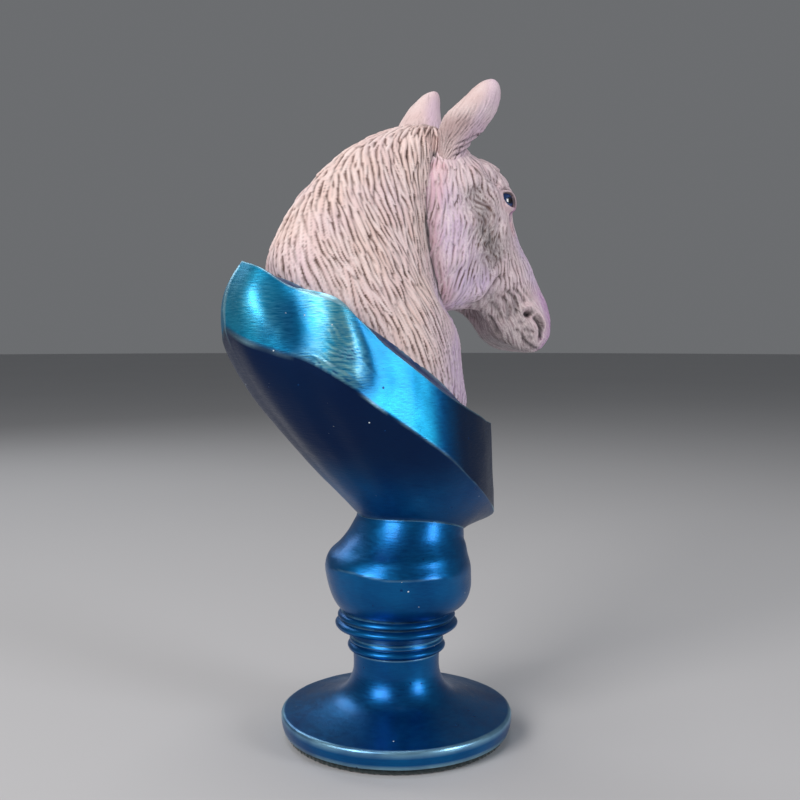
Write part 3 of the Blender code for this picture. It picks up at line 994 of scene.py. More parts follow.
@dataclass
class Pedestal:
    """Felt, foot, collars and bulb of the turned pedestal."""

    bore: float = 2.8
    felt_radius: float = 33.5
    foot_radius: float = 35.6
    foot_edge: float = 7.6
    stem_radius: float = 13.4
    stem_top: float = 26.0
    spigot_radius: float = 8.0
    spigot_top: float = 42.0
    bead_radius: float = 15.1
    main_bead_radius: float = 18.9
    peg_top: float = 73.0
    crease_height: float = 52.6
    back_lift: float = 3.1
    side_lift: float = 1.2
    bulb_rings: tuple[Row, ...] = (
        (38.6, 17.3, 0.8),
        (40.2, 19.3, 1.2),
        (42.5, 20.9, 1.4),
        (45.5, 21.9, 1.3),
        (49.0, 22.3, 0.8),
        (52.5, 22.4, 0.5),
        (56.0, 21.4, 0.6),
        (59.0, 19.5, 2.2),
        (61.8, 17.8, 3.6),
        (64.6, 16.8, 4.8),
        (66.1, 16.5, 5.1),
    )

    def build(self, blue: bpy.types.Material, felt: bpy.types.Material) -> None:
        """Make and dress every piece of the pedestal.

        Args:
            blue: The paint.
            felt: The felt's material.
        """
        pad = self.felt_pad()
        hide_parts("felt_pad")
        dress(pad, felt)
        pieces = (
            ("foot_and_stem", self.foot()),
            *self.collars(),
            ("baluster_bulb", self.bulb()),
        )
        for node, piece in pieces:
            mark_edges(piece, 0.16)
            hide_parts(node)
            dress(piece, blue)

    def felt_pad(self) -> bpy.types.Object:
        """Felt disc with a slightly frayed, soft edge.

        Returns:
            The pad.
        """
        low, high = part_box("felt_pad")
        bottom, top = low[2] / MM, high[2] / MM
        bpy.ops.object.select_all(action="DESELECT")
        middle = (0, 0, (bottom + top) / 2 * MM)
        bpy.ops.mesh.primitive_cylinder_add(
            vertices=180, radius=self.felt_radius * MM, depth=(top - bottom) * MM, location=middle
        )
        pad = bpy.context.active_object
        pad.name = "pressed_felt_pad"
        bpy.ops.object.mode_set(mode="EDIT")
        bpy.ops.mesh.select_all(action="SELECT")
        bpy.ops.mesh.bevel(offset=0.3 * MM, segments=2)
        bpy.ops.object.mode_set(mode="OBJECT")
        bpy.ops.object.transform_apply(location=True, rotation=True, scale=True)
        for vertex in pad.data.vertices:
            fray = 1 + 0.004 * sin(41 * vertex.index)
            vertex.co.x *= fray
            vertex.co.y *= fray
        bpy.ops.object.shade_smooth_by_angle(angle=radians(40))
        return pad

    def foot(self) -> bpy.types.Object:
        """Foot disc, conical top and stem, with the wells and the spigot.

        Returns:
            The foot.
        """
        edge, radius = self.foot_edge, self.foot_radius
        slope = curve_through(
            (
                (radius - 1.2, edge + 0.05),
                (29.0, edge + 1.0),
                (22.5, edge + 2.7),
                (18.0, edge + 4.6),
                (15.1, edge + 7.6),
                (self.stem_radius + 0.1, edge + 11.4),
                (self.stem_radius - 0.2, self.stem_top - 3.5),
                (self.stem_radius, self.stem_top),
            ),
            46,
        )
        rim = (
            (26.3, 6.8),
            (26.3, 1.5),
            (radius - 1.8, 1.5),
            (radius - 0.8, 2.0),
            (radius - 0.35, 3.4),
            (radius - 0.05, 5.2),
            (radius, edge - 0.9),
            (radius - 0.25, edge - 0.35),
            (radius - 0.65, edge - 0.05),
        )
        top = (
            (self.spigot_radius, self.stem_top),
            (self.spigot_radius, self.spigot_top),
            (self.bore, self.spigot_top),
        )
        section = [(self.bore, 9.0), (7.5, 9.0), (7.5, 6.8), *rim, *map(tuple, slope), *top]
        piece = turn_on_lathe("painted_foot_and_stem", [(r, z, 0.0) for r, z in section], 200)
        round_edges(piece, 0.12, 55)
        roughen(piece, 0.07, 9.0)
        return piece

    def collar(self, node: str, side: tuple[Row, ...], top_radius: float) -> bpy.types.Object:
        """Beaded ring round the spigot, as high as its place in the frame.

        Args:
            node: Its place in the frame.
            side: Radius, and height above its underside, of each point of its outer side.
            top_radius: Radius at its top.

        Returns:
            The ring.
        """
        low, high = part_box(node)
        bottom, top = low[2] / MM, high[2] / MM
        outline = [(radius, bottom + height) for radius, height in side] + [(top_radius, top)]
        bore = self.spigot_radius + GAP
        outer = curve_through(outline, 6 * len(outline))
        section = [(bore, bottom), *map(tuple, outer), (bore, top)]
        piece = turn_on_lathe(f"painted_{node}", [(r, z, 0.0) for r, z in section], 180)
        roughen(piece, 0.06, 5.0)
        return piece

    def collars(self) -> list[tuple[str, bpy.types.Object]]:
        """Bead and cove, wide bead on a flare, and thin bead, from the stem up.

        Returns:
            The node and the ring of each.
        """
        low, wide, thin = self.bead_radius, self.main_bead_radius, self.main_bead_radius - 0.8
        lower = (
            (low - 1.0, 0.0), (low - 0.25, 0.5), (low, 1.3), (low - 0.5, 2.1), (low - 1.1, 2.6),
            (low - 0.6, 3.1),
        )
        main = (
            (low - 1.1, 0.0), (low - 0.3, 0.9), (wide - 2.3, 2.0), (wide - 0.45, 3.0), (wide, 3.9),
            (wide - 0.45, 4.7),
        )
        upper = ((thin - 0.9, 0.0), (thin - 0.1, 0.5), (thin, 0.9), (thin - 0.4, 1.5))
        return [
            ("lower_collar", self.collar("lower_collar", lower, low - 0.9)),
            ("main_collar", self.collar("main_collar", main, wide - 1.5)),
            ("upper_collar", self.collar("upper_collar", upper, thin - 1.1)),
        ]

    def bulb(self) -> bpy.types.Object:
        """Bulb with a crease round its back, and its leaning top with the peg.

        Returns:
            The bulb.
        """
        rings = curve_through(self.bulb_rings, 78)
        outer = [(radius, height, forward) for height, radius, forward in rings]
        bottom = self.bulb_rings[0][0]
        socket = self.spigot_radius + GAP
        joint = self.bulb_rings[-1][0]
        roof = self.spigot_top + GAP
        inner = [(self.bore, roof, 0.0), (socket, roof, 0.0), (socket, bottom, 0.0)]
        peg = [(self.spigot_radius, joint, 0.0), (self.spigot_radius, self.peg_top, 0.0)]
        peg.append((self.bore, self.peg_top, 0.0))
        piece = turn_on_lathe("painted_baluster_bulb", inner + outer + peg, 200)
        for vertex in piece.data.vertices:
            self.place_on_bulb(vertex)
        piece.data.update()
        roughen(piece, 0.12, 7.0)
        return piece

    def place_on_bulb(self, vertex: bpy.types.MeshVertex) -> None:
        """Lean one point of the bulb's top with the joint and raise the crease.

        Args:
            vertex: The point.
        """
        place = np.array(vertex.co) / MM
        forward, right, height = -place[1], -place[0], place[2]
        away = np.hypot(forward, right)
        if away < self.spigot_radius + 0.6:
            return
        rings = np.array(self.bulb_rings)
        middle = float(np.interp(height, rings[:, 0], rings[:, 2]))
        turn = np.arctan2(right, -(forward - middle))
        lean = float(rise(height, 57.5, rings[-1, 0]))
        height += lean * (self.back_lift * cos(turn) - self.side_lift * cos(2 * turn))
        line = self.crease_height + 0.7 * sin(2.3 * turn + 0.8) + 0.35 * sin(5.1 * turn)
        strength = float(rise(turn, -0.35, 0.2) * (1 - rise(turn, 1.3, 2.3)))
        off = height - line
        lip = 0.55 * np.exp(-np.hypot(off, 0.5) / 1.1) - 0.35 * np.exp(-(((off - 3.0) / 1.8) ** 2))
        growth = 1 + strength * lip / away
        vertex.co = Vector(at(forward * growth, right * growth, height)) * MM


# ---------------------------------------------------------------- bust shell


@dataclass
class BustShell:
    """Slanted, lobed shell that holds the neck."""

    steps: int = 300
    bore: float = 2.8
    nut_well: float = 6.5
    seat: float = 74.0
    socket_radius: float = 8.3
    socket_roof: float = 73.3
    joint_forward: float = 5.1
    joint_radius: float = 16.5
    joint_height: float = 66.15
    back_lift: float = 3.1
    side_lift: float = 1.2
    swell: float = 0.055
    swell_ease: float = 0.65
    rim: tuple[Row, ...] = (
        (-49.5, 0.0, 143.3),
        (-47.5, 8.0, 141.3),
        (-42.0, 13.5, 136.5),
        (-36.5, 17.5, 134.2),
        (-31.0, 22.0, 131.8),
        (-25.0, 24.5, 126.7),
        (-18.0, 25.5, 120.0),
        (-9.0, 26.5, 113.3),
        (1.0, 26.0, 106.4),
        (11.0, 22.0, 101.6),
        (20.0, 16.5, 98.3),
        (27.5, 9.5, 95.8),
        (32.5, 4.0, 94.8),
        (34.0, 0.0, 95.0),
    )
    band: tuple[Row, ...] = (
        (-54.8, 0.0, 126.0),
        (-52.5, 8.5, 122.5),
        (-46.5, 15.5, 119.5),
        (-40.0, 20.0, 117.0),
        (-34.0, 24.5, 113.0),
        (-27.0, 27.0, 108.1),
        (-19.0, 28.0, 102.3),
        (-9.5, 29.0, 95.9),
        (1.0, 28.5, 88.8),
        (11.5, 24.5, 80.9),
        (20.5, 18.5, 74.7),
        (28.0, 11.0, 70.0),
        (33.5, 4.5, 66.8),
        (36.5, 0.0, 65.0),
    )
    shoulder_edge: tuple[Row, ...] = (
        (-27.5, 0.0),
        (-24.8, 0.2),
        (-23.6, 0.42),
        (-24.8, 0.7),
        (-27.6, 1.0),
    )

    def ring(self, half: tuple[Row, ...]) -> np.ndarray:
        """Closed ring from a right half that runs from the back to the front.

        Args:
            half: Forward, right and height of each of the half's points.

        Returns:
            The ring's points.
        """
        forward, right, height = curve_through(half, self.steps // 2 + 1).T
        right_side = np.stack([-right, -forward, height], axis=1)
        left_side = right_side[-2:0:-1] * (-1, 1, 1)
        return np.vstack([right_side, left_side])

    def saddle(self, forward: float, radius: float) -> np.ndarray:
        """Ring on the saddle-shaped joint with the bulb.

        Args:
            forward: Shift of its middle.
            radius: Its radius.

        Returns:
            The ring's points.
        """
        turn = np.arange(self.steps) * 2 * pi / self.steps
        share = radius / self.joint_radius
        height = self.joint_height + share * self.back_lift * np.cos(turn)
        height -= share**2 * self.side_lift * np.cos(2 * turn)
        return np.stack([-radius * np.sin(turn), -(forward - radius * np.cos(turn)), height], axis=1)

    def level(self, radius: float, height: float) -> np.ndarray:
        """Level ring round the foot's axis.

        Args:
            radius: Its radius.
            height: Its height.

        Returns:
            The ring's points.
        """
        turn = np.arange(self.steps) * 2 * pi / self.steps
        level = np.full(self.steps, height)
        return np.stack([-radius * np.sin(turn), radius * np.cos(turn), level], axis=1)

    def underside(self, band: np.ndarray, joint: np.ndarray, share: float) -> np.ndarray:
        """Ring part of the way down the swelling underside.

        Args:
            band: The band's lower edge.
            joint: The joint's ring.
            share: How far down it lies.

        Returns:
            The ring's points.
        """
        chord = band - joint
        reach = np.linalg.norm(chord[:, :2], axis=1)
        length = np.linalg.norm(chord, axis=1)
        outward = chord[:, :2] / reach[:, None]
        below = np.column_stack([outward * chord[:, 2:3], -reach]) / length[:, None]
        swell = self.swell * sin(pi * share**self.swell_ease) * length
        return band + (joint - band) * share + below * swell[:, None]

    def build(self, blue: bpy.types.Material, neck_ring: np.ndarray) -> None:
        """Make and dress the shell.

        Args:
            blue: The paint.
            neck_ring: The neck's outline where it enters the shell.
        """
        rim, band = self.ring(self.rim), self.ring(self.band)
        joint = self.saddle(self.joint_forward, self.joint_radius)
        pocket_middle = neck_ring.mean(axis=0)
        pocket = even_ring(pocket_middle + (neck_ring - pocket_middle) * 1.015, self.steps)
        floor = pocket + at(3.0, 0, -9.0)
        socket = self.saddle(0, self.socket_radius)
        rows = [self.level(self.bore, self.seat), self.level(self.bore, self.socket_roof)]
        rows += [self.level(self.socket_radius, self.socket_roof), socket]
        rows += [joint + (socket - joint) * 0.03]
        rows += [self.underside(band, joint, 1 - share) for share in np.linspace(0, 1, 52)[:-1] ** 0.9]
        face = [band + (rim - band) * share for share in np.linspace(0, 1, 44)]
        first_face = len(rows)
        rows += face
        inward = pocket - rim
        rows += [rim + inward * 0.10 - (0, 0, 0.1), rim + inward * 0.30 - (0, 0, 0.3)]
        rows += [rim + inward * 0.66 - (0, 0, 0.8), pocket, floor]
        floor_height = float(floor[:, 2].mean())
        rows += [self.level(self.nut_well, height) for height in (floor_height, self.seat)]
        skin = Skin(np.array(rows), Ends.JOINED)
        self.shape_band(skin, first_face, len(face))
        shell = skin.make("painted_bust_shell")
        round_edges(shell, 0.28, 34)
        roughen(shell, 0.13, 8.0)
        mark_edges(shell, 0.10)
        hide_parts("bust_shell")
        dress(shell, blue)

    def shape_band(self, skin: Skin, first: int, count: int) -> None:
        """Raise the two shoulders with their ripples and their sharp front edge, and mark the shell's
        painted highlight, painted light and painted shade.

        Args:
            skin: The shell's skin.
            first: First row of the band.
            count: How many rows the band has.
        """
        rows = slice(first, first + count)
        points = skin.points[rows]
        share = np.linspace(0, 1, count)[:, None] * np.ones((1, points.shape[1]))
        forward = -points[..., 1]
        edge_forward, edge_share = np.array(self.shoulder_edge).T
        line = np.interp(share[:, 0], edge_share, edge_forward)
        front = line[:, None] - forward
        side = rise(np.abs(points[..., 0]), 12.0, 18.0)
        body = rise(front, -2.4, 4.2) * (1 - rise(front, 7.0, 17.0)) * side
        fade = rise(share, 0.0, 0.10) * 0.75 + 0.25
        slope = -forward * sin(radians(38)) - points[..., 2] * cos(radians(38))
        wander = mottle(points, 5.0, 31) * 1.6
        ripples = np.sin((slope + 2 * wander) * 2 * pi / 1.5)
        ripples *= rise(front, 0.0, 3.0) * (1 - rise(front, 8, 13))
        ripples *= rise(0.75 - np.abs(share - 0.35), 0.2, 0.6) * side
        hollow = bell(front, -3.5, 3.5) * side
        lobe = np.sin(pi * share) * rise(-forward, 40, 50)
        height = 1.0 * body * fade + 0.035 * ripples - 0.2 * hollow + 2.2 * lobe
        out = skin.normals()[rows]
        skin.points[rows] = points + out * height[..., None]
        teal, lit, shade = (np.zeros(skin.points.shape[:2]) for _ in range(3))
        # Painted highlight on the shoulder bulges and the rear lobes.
        teal[rows] = body * (0.58 + 0.28 * ripples) + 0.22 * lobe
        # Painted light on the side panels, dimmer in the waist's dip and just behind the shoulder
        # edge.
        dip = bell(-forward, 41.5, 5.0)
        panel = rise(-forward, 0.0, 7.0)
        lit[rows] = panel * (0.9 - 0.55 * dip - 0.45 * bell(front, -1.2, 1.8))
        lit[rows] *= 0.75 + 0.25 * mottle(points, 5.0, 33)
        # Painted shade: darker front facets, and a near-black underside that lightens near the joint.
        shade[rows] = 0.85 * rise(forward, -2.0, 9.0)
        shade[:first] = 0.95 - 0.75 * bell(skin.points[:first, :, 2], 74.0, 9.0)
        skin.marks.update(teal=teal, lit=lit, shade=shade)


# ---------------------------------------------------------------- horse


@dataclass(frozen=True)
class Stroke:
    """One stroke of the sculptor's tool along a line on the side of the head.

    The line's points are places along the face and out through the forehead.  A positive height
    leaves a ridge, a negative one a groove; ink darkens it and glaze says which tint it carries.
    """

    line: tuple[Row, ...]
    width: float
    height: float
    ink: float = 0.0
    glaze: str = ""
    glaze_strength: float = 0.0
    tapered: bool = True

    def reach(self, places: np.ndarray) -> np.ndarray:
        """How strongly the stroke is felt, from 0 to 1.

        Args:
            places: Places on the side of the head.

        Returns:
            One value for each place.
        """
        path = np.array(self.line)
        if len(path) > 2:
            path = curve_through(path, 6 * len(path))
        away, passed = line_distance(places, path)
        felt = np.exp(-((away / self.width) ** 2))
        if self.tapered:
            felt = felt * rise(passed, -0.02, 0.22) * (1 - rise(passed, 0.78, 1.02))
        return felt


@dataclass
class HorseHead:
    """Head from the poll to the lips, and the measures that its ears, eyes and neck share."""

    rows: int = 286
    steps: int = 336
    poll: tuple[float, float, float] = (15.5, 0.0, 184.8)
    face_slope: float = 57.0
    slices: tuple[Row, ...] = (
        (2.0, -1.5, -10.5, 6.5, 0.0),
        (7.0, 0.8, -17.5, 12.0, 0.05),
        (10.5, 2.2, -21.2, 13.5, 0.08),
        (15.0, 5.4, -25.2, 14.8, 0.12),
        (21.0, 8.4, -29.3, 15.4, 0.12),
        (27.0, 8.2, -32.4, 15.0, 0.08),
        (34.0, 6.2, -34.8, 14.4, 0.0),
        (40.0, 5.7, -34.6, 13.0, -0.05),
        (45.0, 5.7, -30.0, 11.4, -0.05),
        (50.0, 5.9, -22.4, 9.8, 0.0),
        (57.0, 5.4, -19.9, 8.8, 0.0),
        (63.0, 4.9, -19.0, 9.2, 0.05),
        (68.5, 3.4, -15.8, 9.0, 0.05),
        (73.0, 0.6, -11.6, 7.4, 0.0),
        (75.8, -3.2, -8.0, 3.4, 0.0),
    )
    forehead_squareness: float = 0.72
    jaw_squareness: float = 0.42
    jowl_line: tuple[Row, ...] = (
        (3.0, -11.0),
        (8.8, -17.0),
        (17.4, -25.4),
        (28.0, -30.3),
        (34.0, -32.4),
        (39.2, -32.9),
        (43.6, -30.3),
        (47.5, -25.0),
    )
    whorls: tuple[Row, ...] = (
        (31.0, -9.0, 70.0, 20.0),
        (36.0, -13.0, -60.0, 22.0),
        (22.0, -10.0, -60.0, 18.0),
    )
    eye_middle: tuple[float, float] = (26.4, 1.8)
    eye_side: float = 9.9
    eye_radius: float = 4.0
    eye_slant: float = 18.0
    hair: Coat = Coat(4600, 6.0, 0.56, 0.70, seed=21, uneven=0.34, sway=0.40, sway_size=4.0)
    strokes: tuple[Stroke, ...] = (
        Stroke(((12.0, 1.0), (16.2, 3.3), (21.0, 6.0), (25.8, 7.2)), 2.2, 0.9),
        Stroke(((10.0, -7.0), (15.0, -4.5), (20.0, -2.6), (24.0, -1.6)), 1.3, 1.0),
        Stroke(
            ((13.0, -2.0), (18.0, 0.6), (21.0, 1.8)),
            2.2, -1.3, glaze="smoke", glaze_strength=0.25,
        ),
        Stroke(((30.0, -2.8), (34.0, -3.8), (38.5, -5.6), (44.0, -7.6)), 1.8, 0.8),
        Stroke(
            ((31.0, 1.6), (34.0, 1.4), (39.0, 1.0)),
            1.1, -0.7, glaze="pink", glaze_strength=0.7,
        ),
        Stroke(
            ((20.0, -15.0), (28.0, -20.0), (36.0, -22.0)),
            9.0, 1.2, glaze="pink", glaze_strength=0.12,
        ),
        Stroke(
            ((14.0, -7.5), (24.5, -9.0), (33.0, -11.0)),
            4.8, -0.9, glaze="smoke", glaze_strength=0.72,
        ),
        Stroke(
            ((25.0, -10.0), (33.0, -11.5), (42.5, -9.0)),
            5.6, -0.4, glaze="smoke", glaze_strength=0.86,
        ),
        Stroke(((20.0, -5.5), (24.0, -5.0), (28.5, -6.4), (31.5, -9.5)), 1.0, 0.7),
        Stroke(((22.0, -12.0), (27.0, -13.8), (31.0, -12.6), (33.5, -9.4)), 0.9, 0.6),
        Stroke(((30.0, -16.5), (34.0, -15.0), (37.5, -11.5), (41.0, -8.8)), 0.9, 0.6),
        Stroke(((24.0, -8.6), (28.2, -10.2), (31.0, -13.5)), 0.55, -0.7, ink=0.45),
        Stroke(((29.0, -8.0), (32.4, -10.6), (34.0, -14.5)), 0.55, -0.7, ink=0.5),
        Stroke(((33.4, -7.0), (36.4, -9.4), (38.0, -13.0)), 0.55, -0.7, ink=0.45),
        Stroke(((37.6, -8.0), (40.4, -10.6), (41.4, -14.6)), 0.5, -0.6, ink=0.4),
        Stroke(
            ((45.2, -27.5), (47.8, -22.5), (47.9, -18.8), (46.2, -15.6), (45.0, -12.0), (47.4, -8.6)),
            0.75, -1.5, ink=0.75,
        ),
        Stroke(((43.2, -27.0), (45.0, -20.0), (43.2, -15.0), (42.6, -11.0)), 1.7, 0.8),
        Stroke(((46.2, -9.0), (49.5, -5.8), (55.2, -4.0), (59.0, -3.6)), 1.5, 0.75),
        Stroke(((48.2, -13.0), (50.2, -9.6), (54.0, -8.0), (57.6, -8.6)), 1.5, 0.5),
        Stroke(
            ((47.0, -17.0), (52.0, -16.5), (58.0, -15.0)),
            3.6, -0.3, glaze="smoke", glaze_strength=0.6,
        ),
        Stroke(((75.6, -6.6), (73.2, -9.4), (69.6, -11.6), (65.6, -12.8)), 0.5, -0.8, ink=0.6),
        Stroke(((49.4, -12.6), (52.6, -9.6), (57.0, -9.4), (60.6, -12.0)), 0.8, -1.0, ink=0.35),
        Stroke(((49.2, -15.6), (52.4, -12.4), (57.0, -12.4), (60.6, -15.2)), 0.8, -1.0, ink=0.3),
        Stroke(((50.2, -18.2), (54.0, -15.8), (59.4, -16.8)), 0.8, -0.9, ink=0.25),
        Stroke(((54.0, -19.0), (58.0, -18.2), (63.0, -18.6)), 0.5, -0.6, ink=0.5),
        Stroke(((62.4, -13.6), (65.4, -12.4), (68.8, -12.0)), 0.45, -0.5, ink=0.45),
        Stroke(((50.0, -9.0), (54.6, -6.6), (58.6, -6.2)), 0.5, -0.7, ink=0.5),
        Stroke(((52.6, -5.4), (56.2, -4.4), (60.4, -2.4)), 0.5, -0.4, ink=0.25),
        Stroke(((73.0, -12.4), (67.0, -15.4), (61.0, -17.0)), 1.5, 0.5),
        Stroke(((61.4, -11.8), (63.6, -9.6)), 0.55, -0.45, ink=0.3),
        Stroke(((64.6, -11.0), (68.0, -8.2)), 0.55, -0.5, ink=0.35),
        Stroke(((67.6, -10.6), (70.2, -9.0)), 0.5, -0.4, ink=0.3),
        Stroke(
            ((59.6, -9.4), (58.9, -7.2), (60.2, -4.9), (63.4, -3.6), (67.0, -3.7), (70.0, -4.6)),
            1.0, 1.3,
        ),
        Stroke(((62.8, -9.6), (65.2, -7.6), (68.6, -6.8)), 1.0, 0.6),
        Stroke(((61.2, -7.4), (62.0, -6.7)), 0.85, -2.6, ink=1.0, tapered=False),
        Stroke(
            ((62.6, -6.2), (64.6, -5.4), (67.2, -5.3), (70.2, -6.2), (72.6, -8.0)),
            0.7, -1.3, ink=0.85,
        ),
        Stroke(
            ((60.0, 3.0), (66.0, 2.2), (72.0, 0.0), (74.6, -3.4)),
            3.6, 0.0, glaze="mauve", glaze_strength=0.95, tapered=False,
        ),
        Stroke(
            ((70.6, -14.6), (65.0, -17.6), (58.0, -19.4), (50.0, -21.4)),
            2.6, 0.0, glaze="smoke", glaze_strength=0.85, tapered=False,
        ),
        Stroke(
            ((7.0, -13.0), (12.0, -18.5), (20.0, -25.0), (30.0, -29.5), (40.0, -31.5)),
            2.6, 0.0, glaze="pink", glaze_strength=0.55, tapered=False,
        ),
        Stroke(((27.2, -22.6), (27.9, -22.4)), 0.35, -0.35, ink=0.8, tapered=False),
        Stroke(((22.6, 2.8), (23.5, 4.2), (25.4, 5.3), (28.0, 5.5)), 0.42, -0.8, ink=0.8),
        Stroke(
            ((29.6, 1.6), (31.8, 2.0), (33.8, 1.6)),
            0.75, -0.6, ink=0.6, glaze="mauve", glaze_strength=0.7,
        ),
    )

    def axes(self) -> tuple[np.ndarray, np.ndarray]:
        """Unit directions along the face and out through the forehead."""
        slope = radians(self.face_slope)
        return at(cos(slope), 0, -sin(slope)), at(sin(slope), 0, cos(slope))

    def place(self, along: Places, out: Places, side: Places) -> np.ndarray:
        """World place of a place in the head's own measure.

        Args:
            along: Distance from the poll along the face.
            out: Distance out through the forehead.
            side: Distance to the right.

        Returns:
            The place, or an array of them.
        """
        down, up = self.axes()
        along, out, side = (np.asarray(value, float)[..., None] for value in (along, out, side))
        return at(*self.poll) + along * down + out * up + side * at(0, 1, 0)

    def measure(self, points: np.ndarray) -> tuple[np.ndarray, np.ndarray]:
        """Measure points in the head's own axes.

        Args:
            points: The points.

        Returns:
            Their places along the face, and out through the forehead.
        """
        down, up = self.axes()
        offset = points - at(*self.poll)
        return offset @ down, offset @ up

    def slice(self, row: np.ndarray) -> np.ndarray:
        """One slice across the head, its points spread evenly.

        Args:
            row: Place along the face, forehead side, jaw side, half width, and how much wider the
                forehead side is.

        Returns:
            The slice's points.
        """
        along, top, bottom, half_width, lean = row
        turn = np.linspace(0, 2 * pi, 900, endpoint=False)
        share = np.cos(turn)
        squareness = np.where(share > 0, self.forehead_squareness, self.jaw_squareness)
        spread = half_width * np.abs(np.sin(turn)) ** squareness * (1 + lean * share)
        out = (top + bottom) / 2 + (top - bottom) / 2 * share
        ring = self.place(np.full(len(turn), along), out, spread * np.sign(np.sin(turn)))
        return even_ring(ring, self.steps)

    def skin(self) -> Skin:
        """The head's plain skin."""
        table = curve_through(self.slices, self.rows)
        return Skin(np.array([self.slice(row) for row in table]))

    def build(self, coat: bpy.types.Material) -> None:
        """Make and dress the head.

        Args:
            coat: The horse's paint.
        """
        skin = self.skin()
        for mark in ("lilac", "pink", "smoke", "mauve", "ink", "groove", "tone", "across"):
            skin.marks[mark] = np.zeros(skin.points.shape[:2])
        self.hollow_jaw(skin)
        self.drape_lids(skin)
        self.sculpt(skin)
        self.lay_hair(skin, self.open_eye(skin))
        self.tint(skin)
        head = skin.make("painted_head")
        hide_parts("head_casting")
        dress(head, coat)

    def hollow_jaw(self, skin: Skin) -> None:
        """Sink the channel between the two branches of the lower jaw.

        Args:
            skin: The head's skin.
        """
        along, _ = self.measure(skin.points)
        side = np.abs(skin.points[..., 0])
        below = -skin.normals() @ self.axes()[1]
        reach = rise(along, 18, 26) * (1 - rise(along, 52, 62))
        skin.push(-3.0 * bell(side, 0, 4.2) * rise(below, 0.5, 0.9) * reach)

    def sculpt(self, skin: Skin) -> None:
        """Lay every tool stroke on both sides of the head.

        Args:
            skin: The head's skin.
        """
        along, out = self.measure(skin.points)
        places = np.stack([along, out], axis=-1)
        facing = rise(np.abs(skin.normals()[..., 0]), 0.12, 0.45)
        height = np.zeros(along.shape)
        for stroke in self.strokes:
            felt = stroke.reach(places) * facing
            height += stroke.height * felt
            skin.marks["ink"] = np.maximum(skin.marks["ink"], stroke.ink * felt**1.5)
            if stroke.glaze:
                tint = skin.marks[stroke.glaze]
                skin.marks[stroke.glaze] = np.maximum(tint, stroke.glaze_strength * felt)
        lumps = 0.25 * mottle(skin.points, 6.0, 11) + 0.12 * mottle(skin.points, 2.6, 12)
        skin.push(height + lumps * rise(along, 8, 16))

    def eye_places(self, points: np.ndarray) -> tuple[np.ndarray, np.ndarray]:
        """Measure points from the eye's middle.

        Args:
            points: The points.

        Returns:
            Their places along the eye's slit, and across it.
        """
        along, out = self.measure(points)
        slant = radians(self.eye_slant)
        ahead = along - self.eye_middle[0]
        above = out - self.eye_middle[1]
        return ahead * cos(slant) + above * sin(slant), above * cos(slant) - ahead * sin(slant)

    def lid_gap(self, points: np.ndarray) -> np.ndarray:
        """Measure how far inside the open eye points lie.

        Args:
            points: The points.

        Returns:
            One distance for each point, below 0 outside the eye.
        """
        ahead, above = self.eye_places(points)
        share = ahead / 3.1
        upper = 2.1 * (1 - share**2) * (1 - 0.25 * np.clip(share, -1, 1))
        lower = -1.5 * (1 - share**2)
        return np.minimum(upper - above, above - lower) / np.sqrt(1 + 0.8 * share**2)

    def drape_lids(self, skin: Skin) -> None:
        """Bulge the skin over the eyeballs, with a full brow above.

        Args:
            skin: The head's skin.
        """
        along, out = self.measure(skin.points)
        side = np.abs(skin.points[..., 0])
        away = (along - self.eye_middle[0]) ** 2 + (out - self.eye_middle[1]) ** 2
        lid = self.eye_radius + 0.5
        ball = self.eye_side + np.sqrt(np.maximum(lid**2 - away, 0))
        near = away < lid**2
        lift = np.where(near, np.maximum(ball - side, 0), 0) * (side > 4)
        sign = np.sign(skin.points[..., 0])
        skin.points[..., 0] += sign * lift
        mound = np.exp(-away / 7.5**2) * rise(side, 3, 9)
        skin.push(0.6 * mound)

    def open_eye(self, skin: Skin) -> np.ndarray:
        """Sink the skin inside the lids so that the eyeball shows, and line the lids.

        Args:
            skin: The head's skin.

        Returns:
            How bare of hair each point is, from 0 to 1.
        """
        gap = self.lid_gap(skin.points)
        side = rise(np.abs(skin.points[..., 0]), 7.0, 9.0)
        ahead, above = self.eye_places(skin.points)
        inside = rise(gap, -0.1, 0.45) * side
        near = 1 - rise(np.hypot(ahead, above), 4.4, 6.0)
        rim = bell(gap, -0.5, 0.42) * side * near * (1 - 0.5 * rise(above, 0, 1.5))
        crease = bell(gap, -1.7, 0.35) * side * rise(above, 0.2, 1.2) * near
        skin.points[..., 0] -= np.sign(skin.points[..., 0]) * 3.0 * inside
        skin.push(0.35 * rim - 0.40 * crease)
        ink = skin.marks["ink"]
        upper_line = bell(gap, -0.05, 0.38) * rise(above, -0.6, 0.6) * side
        skin.marks["ink"] = np.maximum.reduce([ink, 0.9 * upper_line, 0.55 * crease, inside])
        corner = np.exp(-((ahead - 4.4) ** 2 + (above + 0.3) ** 2) / 1.6) * side
        skin.marks["pink"] = np.maximum(skin.marks["pink"], corner)
        skin.marks["mauve"] = np.maximum(skin.marks["mauve"], 0.8 * corner)
        return rise(gap, -2.2, -0.9) * side * near

    def flow(self, start: np.ndarray, row: np.ndarray, column: np.ndarray) -> np.ndarray:
        """Lay the head's hair down the face, steeper on the cheeks and curling round the whorls.

        Args:
            start: Places on the skin.
            row: The skin's rows there; not used.
            column: Its columns there; not used.

        Returns:
            One direction for each place.
        """
        down, up = self.axes()
        along, out = self.measure(start)
        slope = 8 + 26 * rise(-out, 2, 14) + 10 * rise(-out, 14, 26)
        slope = slope * (1 - 0.8 * rise(along, 48, 58))
        for whorl_along, whorl_out, bend, size in self.whorls:
            away = (along - whorl_along) ** 2 + (out - whorl_out) ** 2
            slope = slope + bend * np.exp(-away / size)
        turn = np.radians(slope)[:, None]
        return down * np.cos(turn) - up * np.sin(turn)

